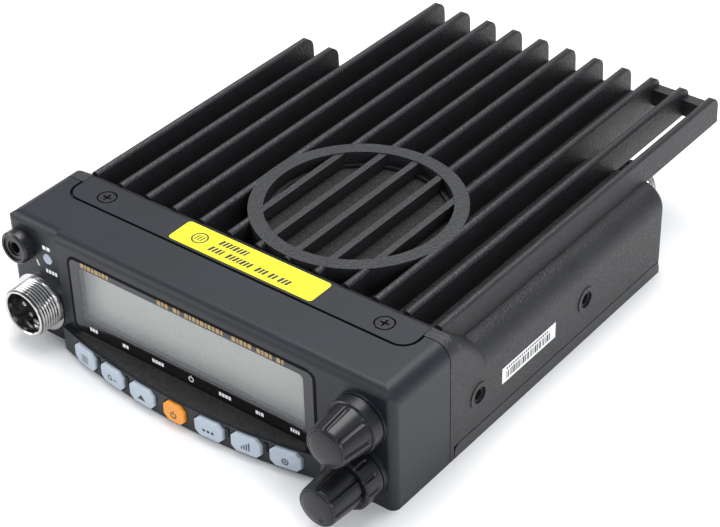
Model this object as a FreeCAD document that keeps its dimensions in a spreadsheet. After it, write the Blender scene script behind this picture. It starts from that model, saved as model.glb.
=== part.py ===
"""Compact mobile transceiver: a cast heat-sink chassis with a moulded control head on its nose.

Every length is in millimetres.  +X is the operator's right, +Y runs back from the control head
and +Z is up.
Pieces are laid out from the seam between head and chassis, and seam_shift then puts the origin under the
middle of the whole unit, on the surface that it stands on.
"""

import FreeCAD, Part
import os
import re
import Sketcher
from FreeCAD import Vector

FIN_COUNT = 13
SHORT_FINS = (1, 2)
SLAT_FINS = (6, 7, 8, 9, 10)
BRIDGED_FINS = (11, 13)
KEY_SLOTS = {"key_1": -3, "key_2": -2, "key_3": -1, "key_power": 0, "key_4": 1, "key_5": 2, "key_6": 3}
MIC_PIN_COUNT = 7
COVER_SCREW_ROWS = (-1, 0, 1)
SIDES = (-1, 1)

# Sizes in millimetres. One that starts with an equals sign follows the sizes it names.
SIZES = {
    # whole unit
    "body_width": 142.0,
    "body_height": 40.0,
    "chassis_length": 110.0,
    "fin_reach": 151.35,
    "knob_reach": 45.3,
    "seam_gap": 0.3,
    # cast chassis
    "cast_wall": 3.0,
    "front_wall": 2.5,
    "deck_top": 31.0,
    "deck_thickness": 3.0,
    "shoulder_radius": 7.8,
    "top_corner_radius": 5.0,
    "nose_flat": 4.0,
    "nose_slope_end": 15.5,
    "rim_back": 6.7,
    "rear_corner_radius": 2.0,
    "lip_depth": 1.5,
    "lip_thickness": 1.2,
    "lip_clearance": 0.3,
    # fins
    "fin_pitch": 10.49,
    "fin_thickness": 3.0,
    "fin_tip": 1.25,
    "fin_crown": 1.3,
    "fin_root": 0.5,
    "fin_end_radius": 4.0,
    "short_fin_short": 3.1,
    "short_fin_reach": "=chassis_length - short_fin_short",
    "bridge_top": 36.5,
    "bridge_thickness": 4.0,
    # speaker opening
    "speaker_x": 10.49,
    "speaker_y": 38.5,
    "ring_outer": 32.05,
    "ring_inner": 27.6,
    "slat_width": 2.2,
    "slat_depth": 4.0,
    "ledge_width": 1.3,
    "ledge_depth": 1.0,
    "slat_drop": 0.3,
    # side bracket holes
    "bracket_front": 13.4,
    "bracket_spacing": 53.5,
    "bracket_height": 15.0,
    "bracket_hole_radius": 1.65,
    "bracket_hole_depth": 8.0,
    "bracket_mouth_radius": 2.6,
    "bracket_mouth_depth": 0.5,
    "bracket_pad_radius": 4.1,
    "bracket_pad_rise": 0.25,
    "bracket_boss_radius": 4.4,
    # bottom cover
    "cover_front": 2.0,
    "cover_short": 1.0,
    "cover_rear": "=chassis_length - cover_short",
    "cover_thickness": 1.2,
    "cover_flange": 4.2,
    "cover_gap": 0.35,
    "cover_corner_radius": 2.5,
    "cover_screw_x": 64.8,
    "cover_screw_front": 8.0,
    "cover_screw_mid": 45.0,
    "cover_screw_short": 8.5,
    "cover_screw_rear": "=chassis_length - cover_screw_short",
    "cover_post_radius": 3.6,
    "cover_head_depth": 0.8,
    # fasteners
    "screw_gap": 0.05,
    "small_screw_radius": 1.25,
    "small_head_radius": 2.6,
    "small_head_height": 1.2,
    "cover_screw_length": 7.0,
    "board_screw_length": 8.0,
    "clamp_screw_length": 9.0,
    "screw_end_gap": 0.5,
    "clamp_screw_x": 50.7,
    "clamp_screw_y": -1.9,
    "clamp_bore_gap": 0.5,
    "cross_length": 3.0,
    "cross_width": 0.6,
    "cross_depth": 0.8,
    # clamp plate on top of the seam
    "plate_half_width": 62.0,
    "plate_front": -7.2,
    "plate_rear": 3.7,
    "plate_thickness": 2.0,
    "plate_groove": 0.9,
    "plate_gap": 0.2,
    "plate_front_corner": 4.5,
    "lug_width": 9.4,
    "lug_front": -7.0,
    "lug_bottom": 28.0,
    "lug_gap": 0.1,
    # control head shell
    "head_depth": 25.0,
    "left_face": 23.3,
    "left_edge": 49.4,
    "crease_width": 1.2,
    "head_wall": 2.0,
    "head_front_wall": 3.0,
    "head_roof": 4.0,
    "head_edge_radius": 3.0,
    "head_corner_radius": 2.5,
    # display
    "window_half_width": 44.9,
    "window_low": 9.7,
    "window_high": 34.9,
    "window_thickness": 1.5,
    "window_groove": 0.4,
    "window_corner": 2.5,
    "window_proud": 0.1,
    "view_half_width": 42.4,
    "view_low": 13.0,
    "view_high": 33.6,
    "glass_half_width": 43.0,
    "glass_low": 12.0,
    "glass_high": 34.2,
    "glass_front": 21.5,
    "glass_thickness": 2.4,
    "holder_half_width": 45.5,
    "holder_low": 9.6,
    "holder_high": 35.6,
    "holder_front": 21.9,
    "fit_gap": 0.2,
    # key bank
    "bank_half_width": 49.0,
    "bank_reach": 32.5,
    "bank_radius": 205.0,
    "bank_low": 0.6,
    "bank_high": 8.6,
    "key_pitch": 12.5,
    "key_width": 9.8,
    "power_width": 7.8,
    "key_low": 1.5,
    "key_high": 8.0,
    "key_corner": 1.6,
    "key_gap": 0.3,
    "key_proud": 0.9,
    "key_edge": 0.4,
    "key_collar": 1.0,
    "collar_low": 2.4,
    "collar_high": 7.4,
    "collar_thickness": 1.0,
    "key_stem": 4.0,
    "key_back": 16.6,
    "key_travel": 0.5,
    # front circuit board
    "board_thickness": 1.6,
    "front_board_face": 12.0,
    "front_board_left": 58.3,
    "front_board_step": 47.0,
    "front_board_right": 66.0,
    "front_board_low": 3.0,
    "front_board_notch": 22.5,
    "front_board_high": 35.0,
    "mat_thickness": 1.0,
    "dome_radius": 2.6,
    "mat_dome_trim": 0.2,
    # indicator
    "led_x": -55.5,
    "led_height": 28.2,
    "led_radius": 1.75,
    "led_flange_radius": 2.5,
    "led_chip": 2.0,
    "led_proud": 0.2,
    # data jack
    "jack_x": -65.4,
    "jack_height": 29.9,
    "jack_radius": 5.2,
    "jack_proud": 4.0,
    "jack_neck_radius": 3.0,
    "jack_liner_radius": 2.5,
    "jack_step_radius": 3.9,
    "jack_rear_radius": 3.55,
    "plug_radius": 1.8,
    "jack_depth": 14.0,
    "jack_edge": 0.6,
    "jack_step": 0.5,
    "jack_end_wall": 1.0,
    # microphone socket
    "mic_x": -60.0,
    "mic_height": 11.45,
    "mic_thread_radius": 8.0,
    "mic_chamfer": 0.7,
    "mic_rim_radius": "=mic_thread_radius - mic_chamfer",
    "mic_proud": 8.4,
    "mic_flange_width": 1.4,
    "mic_flange_radius": "=mic_thread_radius + mic_flange_width",
    "mic_flange_thickness": 1.0,
    "mic_wall": 1.4,
    "mic_bore_radius": "=mic_thread_radius - mic_wall",
    "mic_floor": 22.0,
    "mic_rear": 13.0,
    "mic_nut_width": 0.9,
    "mic_nut_radius": "=mic_thread_radius + mic_nut_width",
    "mic_nut_thickness": 2.5,
    "mic_pin_radius": 0.75,
    "mic_pin_inset": 2.3,
    "mic_pin_circle": "=mic_bore_radius - mic_pin_inset",
    "mic_pin_recess": 4.6,
    "mic_pin_tail": 10.0,
    "mic_key_width": 2.0,
    "mic_key_height": 1.4,
    "mic_key_gap": 0.3,
    # tuning and volume controls
    "control_x": 60.5,
    "tuning_height": 27.6,
    "volume_height": 10.6,
    "collar_radius": 8.4,
    "tuning_collar": 26.0,
    "volume_collar": 26.6,
    "knob_gap": 0.3,
    "shaft_radius": 3.0,
    "inner_shaft_radius": 2.0,
    "running_gap": 0.05,
    "shaft_hole_radius": 4.9,
    "bushing_radius": 4.5,
    "bushing_front": 24.0,
    "control_body": 12.4,
    "control_body_front": 20.0,
    "skirt_radius": 8.15,
    "skirt_front": 30.1,
    "grip_radius": 7.4,
    "tip_radius": 6.2,
    "tuning_reach": 41.0,
    "crown_depth": 0.7,
    "crown_radius": 3.0,
    "ring_radius": 8.25,
    "ring_front": 33.3,
    "ring_edge": 0.4,
    "volume_grip_radius": 6.6,
    "shaft_short": 2.0,
    "shaft_gap": 3.0,
    "shaft_end_gap": 0.3,
    "shaft_tail": 1.0,
    # speaker
    "cloth_thickness": 0.8,
    "gasket_height": 2.0,
    "gasket_width": 3.0,
    "basket_flange": 1.0,
    "basket_depth": 9.0,
    "basket_wall": 0.8,
    "basket_foot_radius": 13.0,
    "magnet_radius": 12.5,
    "magnet_height": 4.0,
    "cone_radius": 22.6,
    "cone_foot_radius": 8.0,
    "cone_height": 5.0,
    "cone_wall": 0.5,
    "cone_rest": 1.6,
    "speaker_gap": 0.3,
    # main board and what it carries
    "main_board_level": 8.0,
    "main_board_half": 60.5,
    "main_board_front": 6.0,
    "main_board_short": 11.0,
    "main_board_rear": "=chassis_length - main_board_short",
    "post_x": 56.0,
    "post_front": 24.0,
    "post_short": 16.0,
    "post_rear": "=chassis_length - post_short",
    "post_radius": 3.0,
    "link_half_width": 16.0,
    "link_front": -4.0,
    "link_height": 4.4,
    "link_window": 20.0,
    "link_window_low": 4.0,
    "link_window_high": 16.0,
    "can_left": -50.0,
    "can_right": -20.0,
    "can_front": 30.0,
    "can_short": 34.0,
    "can_rear": "=chassis_length - can_short",
    "can_height": 4.0,
    "can_sheet": 0.4,
    "module_half": 30.0,
    "module_short": 12.0,
    "module_length": 16.0,
    "module_rear": "=chassis_length - module_short",
    "module_front": "=module_rear - module_length",
    "module_base": 3.0,
    "module_cap": 5.0,
    "module_screw_x": 26.0,
    "module_lead": 1.0,
    "module_lead_depth": 0.5,
    "module_lead_pitch": 5.0,
    "module_screw_bite": 2.2,
    "module_screw_gap": 0.3,
    "capacitor_x": 50.0,
    "capacitor_short": 32.0,
    "capacitor_y": "=chassis_length - capacitor_short",
    "capacitor_pitch": 11.5,
    "capacitor_radius": 5.0,
    "capacitor_height": 12.0,
    # rear connectors
    "antenna_x": 50.0,
    "rear_height": 15.0,
    "antenna_radius": 7.94,
    "antenna_flange_radius": 10.5,
    "antenna_flange": 2.0,
    "antenna_proud": 18.0,
    "antenna_reach": "=chassis_length + antenna_proud",
    "antenna_bore_radius": 6.2,
    "antenna_mouth": 10.0,
    "antenna_floor": "=antenna_reach - antenna_mouth",
    "antenna_inside": 8.0,
    "antenna_tail": "=chassis_length - antenna_inside",
    "antenna_nut": 3.0,
    "antenna_edge": 0.6,
    "antenna_shell_back": 2.0,
    "antenna_insulator_back": 1.0,
    "contact_socket": 8.0,
    "contact_radius": 2.5,
    "contact_bore": 1.95,
    "contact_recess": 2.0,
    "speaker_jack_x": 18.0,
    "speaker_jack_bezel": 4.5,
    "speaker_jack_proud": 1.6,
    "speaker_jack_body": 9.0,
    "gland_x": -24.0,
    "gland_radius": 6.0,
    "gland_neck_radius": 4.8,
    "gland_bore_radius": 3.0,
    "gland_proud": 3.5,
    "gland_lip": 2.0,
    # labels
    "label_rise": 0.1,
    "top_label_left": -23.0,
    "top_label_right": 29.0,
    "top_label_front": -6.4,
    "top_label_rear": 3.3,
    "top_label_corner": 1.2,
    "side_label_front": 24.3,
    "side_label_rear": 50.8,
    "side_label_low": 11.5,
    "side_label_high": 16.8,
}

doc = FreeCAD.newDocument("mobile_transceiver")
sheet = doc.addObject("Spreadsheet::Sheet", "sizes")
for row, (alias, value) in enumerate(SIZES.items(), start=1):
    sheet.set(f"A{row}", alias.replace("_", " "))
    sheet.set(f"B{row}", str(value))
    sheet.setAlias(f"B{row}", alias)
doc.recompute()

PLANE_ROLES = {"top": "XY_Plane", "front": "XZ_Plane", "side": "YZ_Plane"}
SEAM_SHIFT = "(knob_reach - fin_reach) / 2"
PARTS = []


def cells(expression):
    """Write every size named in an expression as a cell of the sheet."""
    return re.sub(r"\b(?!(?:sqrt|abs)\b)[a-z][a-z_]+\b", r"sizes.\g<0>", str(expression))


def bind(item, prop, expression):
    item.setExpression(prop, cells(expression))


def place(item, label, x="0", y="0", z="0"):
    """Name a finished sub-part and put it where it belongs, measured from the seam."""
    item.Label = label
    bind(item, "Placement.Base.x", x)
    bind(item, "Placement.Base.y", f"({y}) + {SEAM_SHIFT}")
    bind(item, "Placement.Base.z", z)
    PARTS.append(item)
    return item


def new_body(label, x="0", y="0", z="0"):
    body = doc.addObject("PartDesign::Body", label)
    body.AllowCompound = True
    return place(body, label, x, y, z)


def new_sketch(body, plane, level):
    """A sketch on one of the body's own planes, moved along the plane's axis to the level."""
    sketch = body.newObject("Sketcher::SketchObject", f"{body.Name}_{plane}")
    role = PLANE_ROLES[plane]
    origin_plane = next(item for item in body.Origin.OriginFeatures if item.Role == role)
    sketch.AttachmentSupport = [(origin_plane, "")]
    sketch.MapMode = "FlatFace"
    bind(sketch, "AttachmentOffset.Base.z", f"-({level})" if plane == "front" else level)
    return sketch


def fix(sketch, joints, dimensions):
    """Add coincident joints and driving dimensions to a sketch in one go, bound to the sheet."""
    first = sketch.ConstraintCount + len(joints)
    constraints = [Sketcher.Constraint("Coincident", *joint) for joint in joints]
    for kind, references, expression in dimensions:
        constraints.append(Sketcher.Constraint(kind, *references, number(expression)))
    sketch.addConstraint(constraints)
    for offset, (kind, references, expression) in enumerate(dimensions):
        sketch.setExpression(f"Constraints[{first + offset}]", cells(expression))


def number(expression):
    """The present value of an expression of sizes."""
    return float(sheet.evalExpression(cells(expression)))


def arc_between(start, end, radius):
    """The arc of this radius that joins two corners; a negative radius curves into the outline."""
    chord = end - start
    reach = abs(radius)
    rise = max(reach**2 - chord.Length**2 / 4, 0.0) ** 0.5
    left = Vector(-chord.y, chord.x, 0).normalize()
    centre = (start + end) / 2 + left * (rise if radius > 0 else -rise)
    if radius < 0:
        start, end = end, start
    circle = Part.Circle(centre, Vector(0, 0, 1), reach)
    return Part.ArcOfCircle(circle, circle.parameter(start), circle.parameter(end))


def polygon(sketch, corners):
    """A closed anticlockwise outline, each corner fixed from the origin.

    A corner is (across, up), or (across, up, radius) where an arc of that radius leads to the next corner.
    """
    first = sketch.GeometryCount
    count = len(corners)
    spots = [Vector(number(corner[0]), number(corner[1]), 0) for corner in corners]
    begins = []
    pieces = []
    for i, corner in enumerate(corners):
        start = spots[i]
        end = spots[(i + 1) % count]
        inward = False
        if len(corner) == 3:
            radius = number(corner[2])
            inward = radius < 0
            pieces.append(arc_between(start, end, radius))
        else:
            pieces.append(Part.LineSegment(start, end))
        begins.append((2, 1) if inward else (1, 2))
    sketch.addGeometry(pieces, False)
    joints = []
    dimensions = []
    for i, corner in enumerate(corners):
        following = (i + 1) % count
        joints.append((first + i, begins[i][1], first + following, begins[following][0]))
        dimensions.append(("DistanceX", (-1, 1, first + i, begins[i][0]), corner[0]))
        dimensions.append(("DistanceY", (-1, 1, first + i, begins[i][0]), corner[1]))
        if len(corner) == 3:
            dimensions.append(("Radius", (first + i,), f"abs({corner[2]})"))
    fix(sketch, joints, dimensions)


def rectangle(sketch, left, right, low, high):
    polygon(sketch, [(left, low), (right, low), (right, high), (left, high)])


def rectangles(sketch, outlines):
    for outline in outlines:
        rectangle(sketch, *outline)


def rounded(sketch, left, right, low, high, radius):
    """A rectangle with all four corners rounded."""
    corners = [
        (f"{left} + {radius}", low),
        (f"{right} - {radius}", low, radius),
        (right, f"{low} + {radius}"),
        (right, f"{high} - {radius}", radius),
        (f"{right} - {radius}", high),
        (f"{left} + {radius}", high, radius),
        (left, f"{high} - {radius}"),
        (left, f"{low} + {radius}", radius),
    ]
    polygon(sketch, corners)


def disc(sketch, across, up, radius):
    centre = Vector(number(across), number(up), 0)
    index = sketch.addGeometry(Part.Circle(centre, Vector(0, 0, 1), number(radius)), False)
    dimensions = [
        ("DistanceX", (-1, 1, index, 3), across),
        ("DistanceY", (-1, 1, index, 3), up),
        ("Radius", (index,), radius),
    ]
    fix(sketch, [], dimensions)


def discs(sketch, centres, *radii):
    for across, up in centres:
        for radius in radii:
            disc(sketch, across, up, radius)


def extrude(body, kind, plane, low, high, draw, *outline):
    """Pad or pocket what draw puts in a sketch, between two levels along the plane's axis."""
    forward = (kind == "Pad") != (plane == "front")
    sketch = new_sketch(body, plane, low if forward else high)
    draw(sketch, *outline)
    feature = body.newObject(f"PartDesign::{kind}", f"{body.Name}_{kind}")
    feature.Profile = sketch
    bind(feature, "Length", f"({high}) - ({low})")
    return feature


def pad(body, plane, low, high, draw, *outline):
    return extrude(body, "Pad", plane, low, high, draw, *outline)


def pocket(body, plane, low, high, draw, *outline):
    return extrude(body, "Pocket", plane, low, high, draw, *outline)


def turn(body, corners, plane="top"):
    """Turn (radius, along) corners about the body's Y axis, or about its Z axis on the front plane."""
    sketch = new_sketch(body, plane, "0")
    polygon(sketch, corners)
    feature = body.newObject("PartDesign::Revolution", f"{body.Name}_turned")
    feature.Profile = sketch
    feature.ReferenceAxis = (sketch, ["V_Axis"])
    feature.Angle = 360.0
    return feature


def middle(edge):
    return edge.valueAt((edge.FirstParameter + edge.LastParameter) / 2)


def runs_along(edge, axis):
    """True for a straight edge that lies along X, Y or Z."""
    first, last = edge.firstVertex().Point, edge.lastVertex().Point
    step = last - first
    return abs(getattr(step, axis)) > 0.999 * edge.Length


def finish_edges(body, kind, amount, chosen):
    """Round or bevel the edges of the body so far that the test chooses."""
    doc.recompute()
    tip = body.Tip
    names = [f"Edge{i}" for i, edge in enumerate(tip.Shape.Edges, start=1) if chosen(edge)]
    feature = body.newObject(f"PartDesign::{kind}", f"{body.Name}_{kind}")
    feature.Base = (tip, names)
    bind(feature, "Radius" if kind == "Fillet" else "Size", amount)
    return feature


def block(label, left, right, front, rear, low, high):
    """A plain rectangular piece."""
    box = doc.addObject("Part::Box", label)
    bind(box, "Length", f"({right}) - ({left})")
    bind(box, "Width", f"({rear}) - ({front})")
    bind(box, "Height", f"({high}) - ({low})")
    return place(box, label, left, front, low)


def rod(label, across, up, radius, front, rear):
    """A plain round rod along Y."""
    cylinder = doc.addObject("Part::Cylinder", label)
    bind(cylinder, "Radius", radius)
    bind(cylinder, "Height", f"({rear}) - ({front})")
    cylinder.Placement.Rotation = FreeCAD.Rotation(Vector(1, 0, 0), -90)
    return place(cylinder, label, across, front, up)


HALF = "body_width / 2"
FIN_SIDE = f"{(FIN_COUNT - 1) / 2} * fin_pitch + fin_thickness / 2"
CAVITY_TOP = "deck_top - deck_thickness"
CAVITY_HALF = f"{HALF} - cast_wall"
HEAD_ROOF = "body_height - head_roof"
SPEAKER_BORE = "ring_inner"


def fin_centre(number_from_left):
    return f"{number_from_left - (FIN_COUNT + 1) / 2} * fin_pitch"


def fin_outline(sketch, fin):
    """A tapered fin seen from the front, with a crowned tip."""
    shoulder = "body_height - (fin_crown - sqrt(fin_crown^2 - fin_tip^2))"
    centre = fin_centre(fin)
    corners = [
        (f"{centre} - fin_thickness / 2", "deck_top - fin_root"),
        (f"{centre} + fin_thickness / 2", "deck_top - fin_root"),
        (f"{centre} + fin_tip", shoulder, "fin_crown"),
        (f"{centre} - fin_tip", shoulder),
    ]
    polygon(sketch, corners)


def fin_row(body, first_fin, last_fin, reach):
    """A row of equal fins: one pad, repeated across the deck at the fin pitch."""
    fin = pad(body, "front", "rim_back - 1", reach, fin_outline, first_fin)
    row = body.newObject("PartDesign::LinearPattern", f"{body.Name}_fins")
    row.Originals = [fin]
    row.Direction = (fin.Profile[0], ["H_Axis"])
    row.Occurrences = last_fin - first_fin + 1
    bind(row, "Length", f"{last_fin - first_fin} * fin_pitch")
    body.Tip = row


def nose_profile(sketch, height, radius):
    """The chassis seen from the front at one place along its nose."""
    corners = [
        (f"-{HALF}", "0"),
        (HALF, "0"),
        (HALF, f"{height} - {radius}", radius),
        (f"{HALF} - {radius}", height),
        (f"-{HALF} + {radius}", height, radius),
        (f"-{HALF}", f"{height} - {radius}"),
    ]
    polygon(sketch, corners)


def fin_end_cutter(sketch, reach):
    """What rounds the upper rear corner of a fin, seen from the side."""
    corners = [
        (f"{reach} - fin_end_radius", "body_height", "-fin_end_radius"),
        (reach, "body_height - fin_end_radius"),
        (f"{reach} + 1", "body_height - fin_end_radius"),
        (f"{reach} + 1", "body_height + 1"),
        (f"{reach} - fin_end_radius", "body_height + 1"),
    ]
    polygon(sketch, corners)


def chassis_shell(body):
    """The cast block with its rounded shoulders, and the nose that rises to full height at the seam."""
    pad(body, "front", "0", "chassis_length", rectangle, f"-{HALF}", HALF, "0", "deck_top")
    deck_top = sheet.deck_top
    side = sheet.body_width / 2
    rear = sheet.chassis_length

    def shoulder(edge):
        return runs_along(edge, "y") and abs(middle(edge).z - deck_top) < 0.01

    def rear_corner(edge):
        return runs_along(edge, "z") and abs(middle(edge).y - rear) < 0.01 and abs(middle(edge).x) > side - 1

    finish_edges(body, "Fillet", "shoulder_radius", shoulder)
    finish_edges(body, "Fillet", "rear_corner_radius", rear_corner)
    pad(body, "front", "0", "nose_flat", nose_profile, "body_height", "top_corner_radius")
    slope = body.newObject("PartDesign::AdditiveLoft", "heatsink_chassis_nose_slope")
    tall = new_sketch(body, "front", "nose_flat")
    nose_profile(tall, "body_height", "top_corner_radius")
    low = new_sketch(body, "front", "nose_slope_end")
    nose_profile(low, "deck_top", "shoulder_radius")
    slope.Profile = tall
    slope.Sections = [low]
    slope.Ruled = True
    body.Tip = slope
    valley = (f"-({FIN_SIDE})", FIN_SIDE, "rim_back", "nose_slope_end + 1")
    pocket(body, "top", "deck_top", "body_height + 1", rectangle, *valley)


def chassis_fins(body):
    """Straight fins over the whole deck; those past the short ones run on as an overhang at the rear."""
    fin_row(body, SHORT_FINS[-1] + 1, FIN_COUNT, "fin_reach")
    fin_row(body, SHORT_FINS[0], SHORT_FINS[-1], "short_fin_reach")
    shelf_left = f"{fin_centre(SHORT_FINS[-1] + 1)} - fin_thickness / 2"
    shelf_right = f"{fin_centre(BRIDGED_FINS[0])} + fin_thickness / 2"
    shelf = (shelf_left, shelf_right, "chassis_length - rear_corner_radius - 1", "fin_reach")
    pad(body, "top", CAVITY_TOP, "deck_top", rectangle, *shelf)
    bridge = (fin_centre(BRIDGED_FINS[0]), fin_centre(BRIDGED_FINS[1]),
              "fin_reach - bridge_thickness", "fin_reach")
    pad(body, "top", "deck_top", "bridge_top", rectangle, *bridge)
    split = f"{fin_centre(SHORT_FINS[-1])} + fin_pitch / 2"
    pocket(body, "side", split, HALF, fin_end_cutter, "fin_reach")
    pocket(body, "side", f"-{HALF}", split, fin_end_cutter, "short_fin_reach")


def slat_outlines(sketch):
    """The bars across the speaker opening, each as long as the opening is at its place."""
    for fin in SLAT_FINS:
        offset = f"{fin_centre(fin)} - speaker_x"
        reach = f"sqrt(ring_inner^2 - ({offset})^2) + 1"
        left = f"{offset} - slat_width / 2"
        right = f"{offset} + slat_width / 2"
        rectangle(sketch, f"speaker_x + {left}", f"speaker_x + {right}",
                  f"speaker_y - ({reach})", f"speaker_y + {reach}")


def chassis_grille(body):
    """The ring on the deck with the speaker's bore through it, its slats and the ledge below them."""
    centre = ("speaker_x", "speaker_y")
    pad(body, "top", "deck_top - 1", "body_height", disc, *centre, "ring_outer")
    pocket(body, "top", "0", "body_height + 1", disc, *centre, SPEAKER_BORE)
    pad(body, "top", "body_height - slat_depth", "body_height - slat_drop", slat_outlines)
    ledge_top = "body_height - slat_depth"
    ledge = ("ring_inner + 1", "ring_inner - ledge_width")
    pad(body, "top", f"{ledge_top} - ledge_depth", ledge_top, discs, [centre], *ledge)


def chassis_hollow(body):
    """The space for the boards, open below, with the rebate that the bottom cover lies in."""
    hollow = (f"-({CAVITY_HALF})", CAVITY_HALF, "front_wall", "chassis_length - cast_wall")
    pocket(body, "top", "-1", CAVITY_TOP, rectangle, *hollow)
    front = "cover_front - cover_gap"
    rear = "cover_rear + cover_gap"
    pocket(body, "top", "-1", "cover_thickness", rectangle, f"-{HALF} - 1", f"{HALF} + 1", front, rear)
    inner = f"{HALF} - cover_thickness - cover_gap"
    strips = [(inner, f"{HALF} + 1", front, rear), (f"-{HALF} - 1", f"-({inner})", front, rear)]
    pocket(body, "top", "0", "cover_flange + cover_gap", rectangles, strips)
    pocket(body, "front", "-1", "front_wall + 1", rectangle, "-link_window", "link_window",
           "link_window_low", "link_window_high")


def cover_screw_spots():
    """Where the bottom cover's screws go, seen from above."""
    rows = ["cover_screw_front", "cover_screw_mid", "cover_screw_rear"]
    return [(f"{side} * cover_screw_x", row) for side in SIDES for row in rows]


def board_screw_spots():
    return [(f"{side} * post_x", row) for side in SIDES for row in ("post_front", "post_rear")]


def clamp_screw_spots():
    return [(f"{side} * clamp_screw_x", "clamp_screw_y") for side in SIDES]


def module_screw_spots():
    return [(f"{side} * module_screw_x", "(module_front + module_rear) / 2") for side in SIDES]


def bracket_spots():
    """The side holes, seen from the side."""
    return [("bracket_front", "bracket_height"), ("bracket_front + bracket_spacing", "bracket_height")]


def chassis_posts(body):
    """Posts that hang from the deck for the main board's screws and the cover's screws."""
    above_board = "main_board_level + board_thickness"
    pad(body, "top", above_board, f"{CAVITY_TOP} + 1", discs, board_screw_spots(), "post_radius")
    pad(body, "top", "cover_thickness", f"{CAVITY_TOP} + 1", discs, cover_screw_spots(), "cover_post_radius")


def bracket_levels(side, near, far):
    """Two distances out from the middle of the unit, in rising order along X on the chosen side."""
    return (near, far) if side > 0 else (f"-({far})", f"-({near})")


def chassis_bracket_holes(body):
    """A raised pad outside, a boss inside and a countersunk blind hole for each side bracket screw."""
    face = f"{HALF} + bracket_pad_rise"
    bottom = f"{HALF} - bracket_hole_depth"
    mouth = f"{HALF} - bracket_mouth_depth"
    for side in SIDES:
        boss = bracket_levels(side, f"{bottom} - 1", f"{HALF} - 1")
        rim = bracket_levels(side, f"{HALF} - 1", face)
        pad(body, "side", *boss, discs, bracket_spots(), "bracket_boss_radius")
        pad(body, "side", *rim, discs, bracket_spots(), "bracket_pad_radius")
        for inner, radius in ((bottom, "bracket_hole_radius"), (mouth, "bracket_mouth_radius")):
            drilled = bracket_levels(side, inner, f"{face} + 1")
            pocket(body, "side", *drilled, discs, bracket_spots(), radius)


def chassis_seam(body):
    """The lip that the control head slides over, its two screw lugs, and the seat of the clamp plate."""
    lip_half = f"{HALF} - head_wall - lip_clearance"
    lip_low = "head_wall + lip_clearance"
    lip_high = f"{HEAD_ROOF} - lip_clearance"
    lip = [
        (f"-({lip_half})", lip_half, lip_low, lip_high),
        (f"-({lip_half}) + lip_thickness", f"{lip_half} - lip_thickness", f"{lip_low} + lip_thickness",
         f"{lip_high} - lip_thickness"),
    ]
    pad(body, "front", "-lip_depth", "1", rectangles, lip)
    lugs = []
    for side in SIDES:
        centre = f"{side} * clamp_screw_x"
        lugs.append((f"{centre} - lug_width / 2", f"{centre} + lug_width / 2", "lug_bottom",
                     f"{HEAD_ROOF} - lug_gap"))
    pad(body, "front", "lug_front", "1", rectangles, lugs)
    seat_half = "plate_half_width + plate_gap"
    seat = (f"-({seat_half})", seat_half, "-1", "plate_rear + plate_gap")
    pocket(body, "top", "body_height - plate_thickness", "body_height + 1", rectangle, *seat)


def chassis_screw_holes(body):
    """Blind holes for the clamp, board, cover and output-module screws."""
    above_board = "main_board_level + board_thickness"
    holes = [
        (f"{HEAD_ROOF} - clamp_screw_length", "body_height - plate_thickness", clamp_screw_spots()),
        (above_board, f"{above_board} + board_screw_length", board_screw_spots()),
        ("0", "cover_thickness + cover_screw_length", cover_screw_spots()),
        (CAVITY_TOP, f"{CAVITY_TOP} + module_screw_bite", module_screw_spots()),
    ]
    for low, high, spots in holes:
        pocket(body, "top", low, high, discs, spots, "small_screw_radius + screw_gap")


def chassis_rear_holes(body):
    """Openings in the rear wall for the antenna socket, the speaker jack and the supply lead's gland."""
    sockets = [
        ("antenna_x", "antenna_radius + fit_gap"),
        ("speaker_jack_x", "jack_neck_radius + fit_gap"),
        ("gland_x", "gland_neck_radius"),
    ]
    for across, radius in sockets:
        pocket(body, "front", "chassis_length - cast_wall - 1", "chassis_length + 1", disc, across,
               "rear_height",
               radius)


def build_chassis():
    body = new_body("heatsink_chassis")
    chassis_shell(body)
    chassis_fins(body)
    chassis_grille(body)
    chassis_hollow(body)
    chassis_posts(body)
    chassis_bracket_holes(body)
    chassis_seam(body)
    chassis_screw_holes(body)
    chassis_rear_holes(body)


def build_bottom_cover():
    """Pressed sheet with low flanges that lie in the chassis rebates."""
    body = new_body("bottom_cover")
    pad(body, "top", "0", "cover_thickness", rectangle, f"-{HALF}", HALF, "cover_front", "cover_rear")
    flange = ("cover_front", "cover_rear", "0", "cover_flange")
    pad(body, "side", f"{HALF} - cover_thickness", HALF, rectangle, *flange)
    pad(body, "side", f"-{HALF}", f"-{HALF} + cover_thickness", rectangle, *flange)
    flange_top = sheet.cover_flange

    def flange_end(edge):
        return runs_along(edge, "x") and abs(middle(edge).z - flange_top) < 0.01

    finish_edges(body, "Fillet", "cover_corner_radius", flange_end)
    pocket(body, "top", "0", "cover_thickness", discs, cover_screw_spots(), "small_screw_radius + screw_gap")
    pocket(body, "top", "0", "cover_head_depth", discs, cover_screw_spots(), "small_head_radius + screw_gap")


def build_screws(label, spots, head_low, head_high, shank_low, shank_high, drive_low, drive_high):
    """Like screws that stand along Z, one solid each, with a cross-shaped recess in every head."""
    body = new_body(label)
    pad(body, "top", head_low, head_high, discs, spots, "small_head_radius")
    pad(body, "top", shank_low, shank_high, discs, spots, "small_screw_radius")
    for long_way, short_way in (("cross_length", "cross_width"), ("cross_width", "cross_length")):
        slots = [(f"{x} - {long_way} / 2", f"{x} + {long_way} / 2",
                  f"{y} - {short_way} / 2", f"{y} + {short_way} / 2") for x, y in spots]
        pocket(body, "top", drive_low, drive_high, rectangles, slots)


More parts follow.
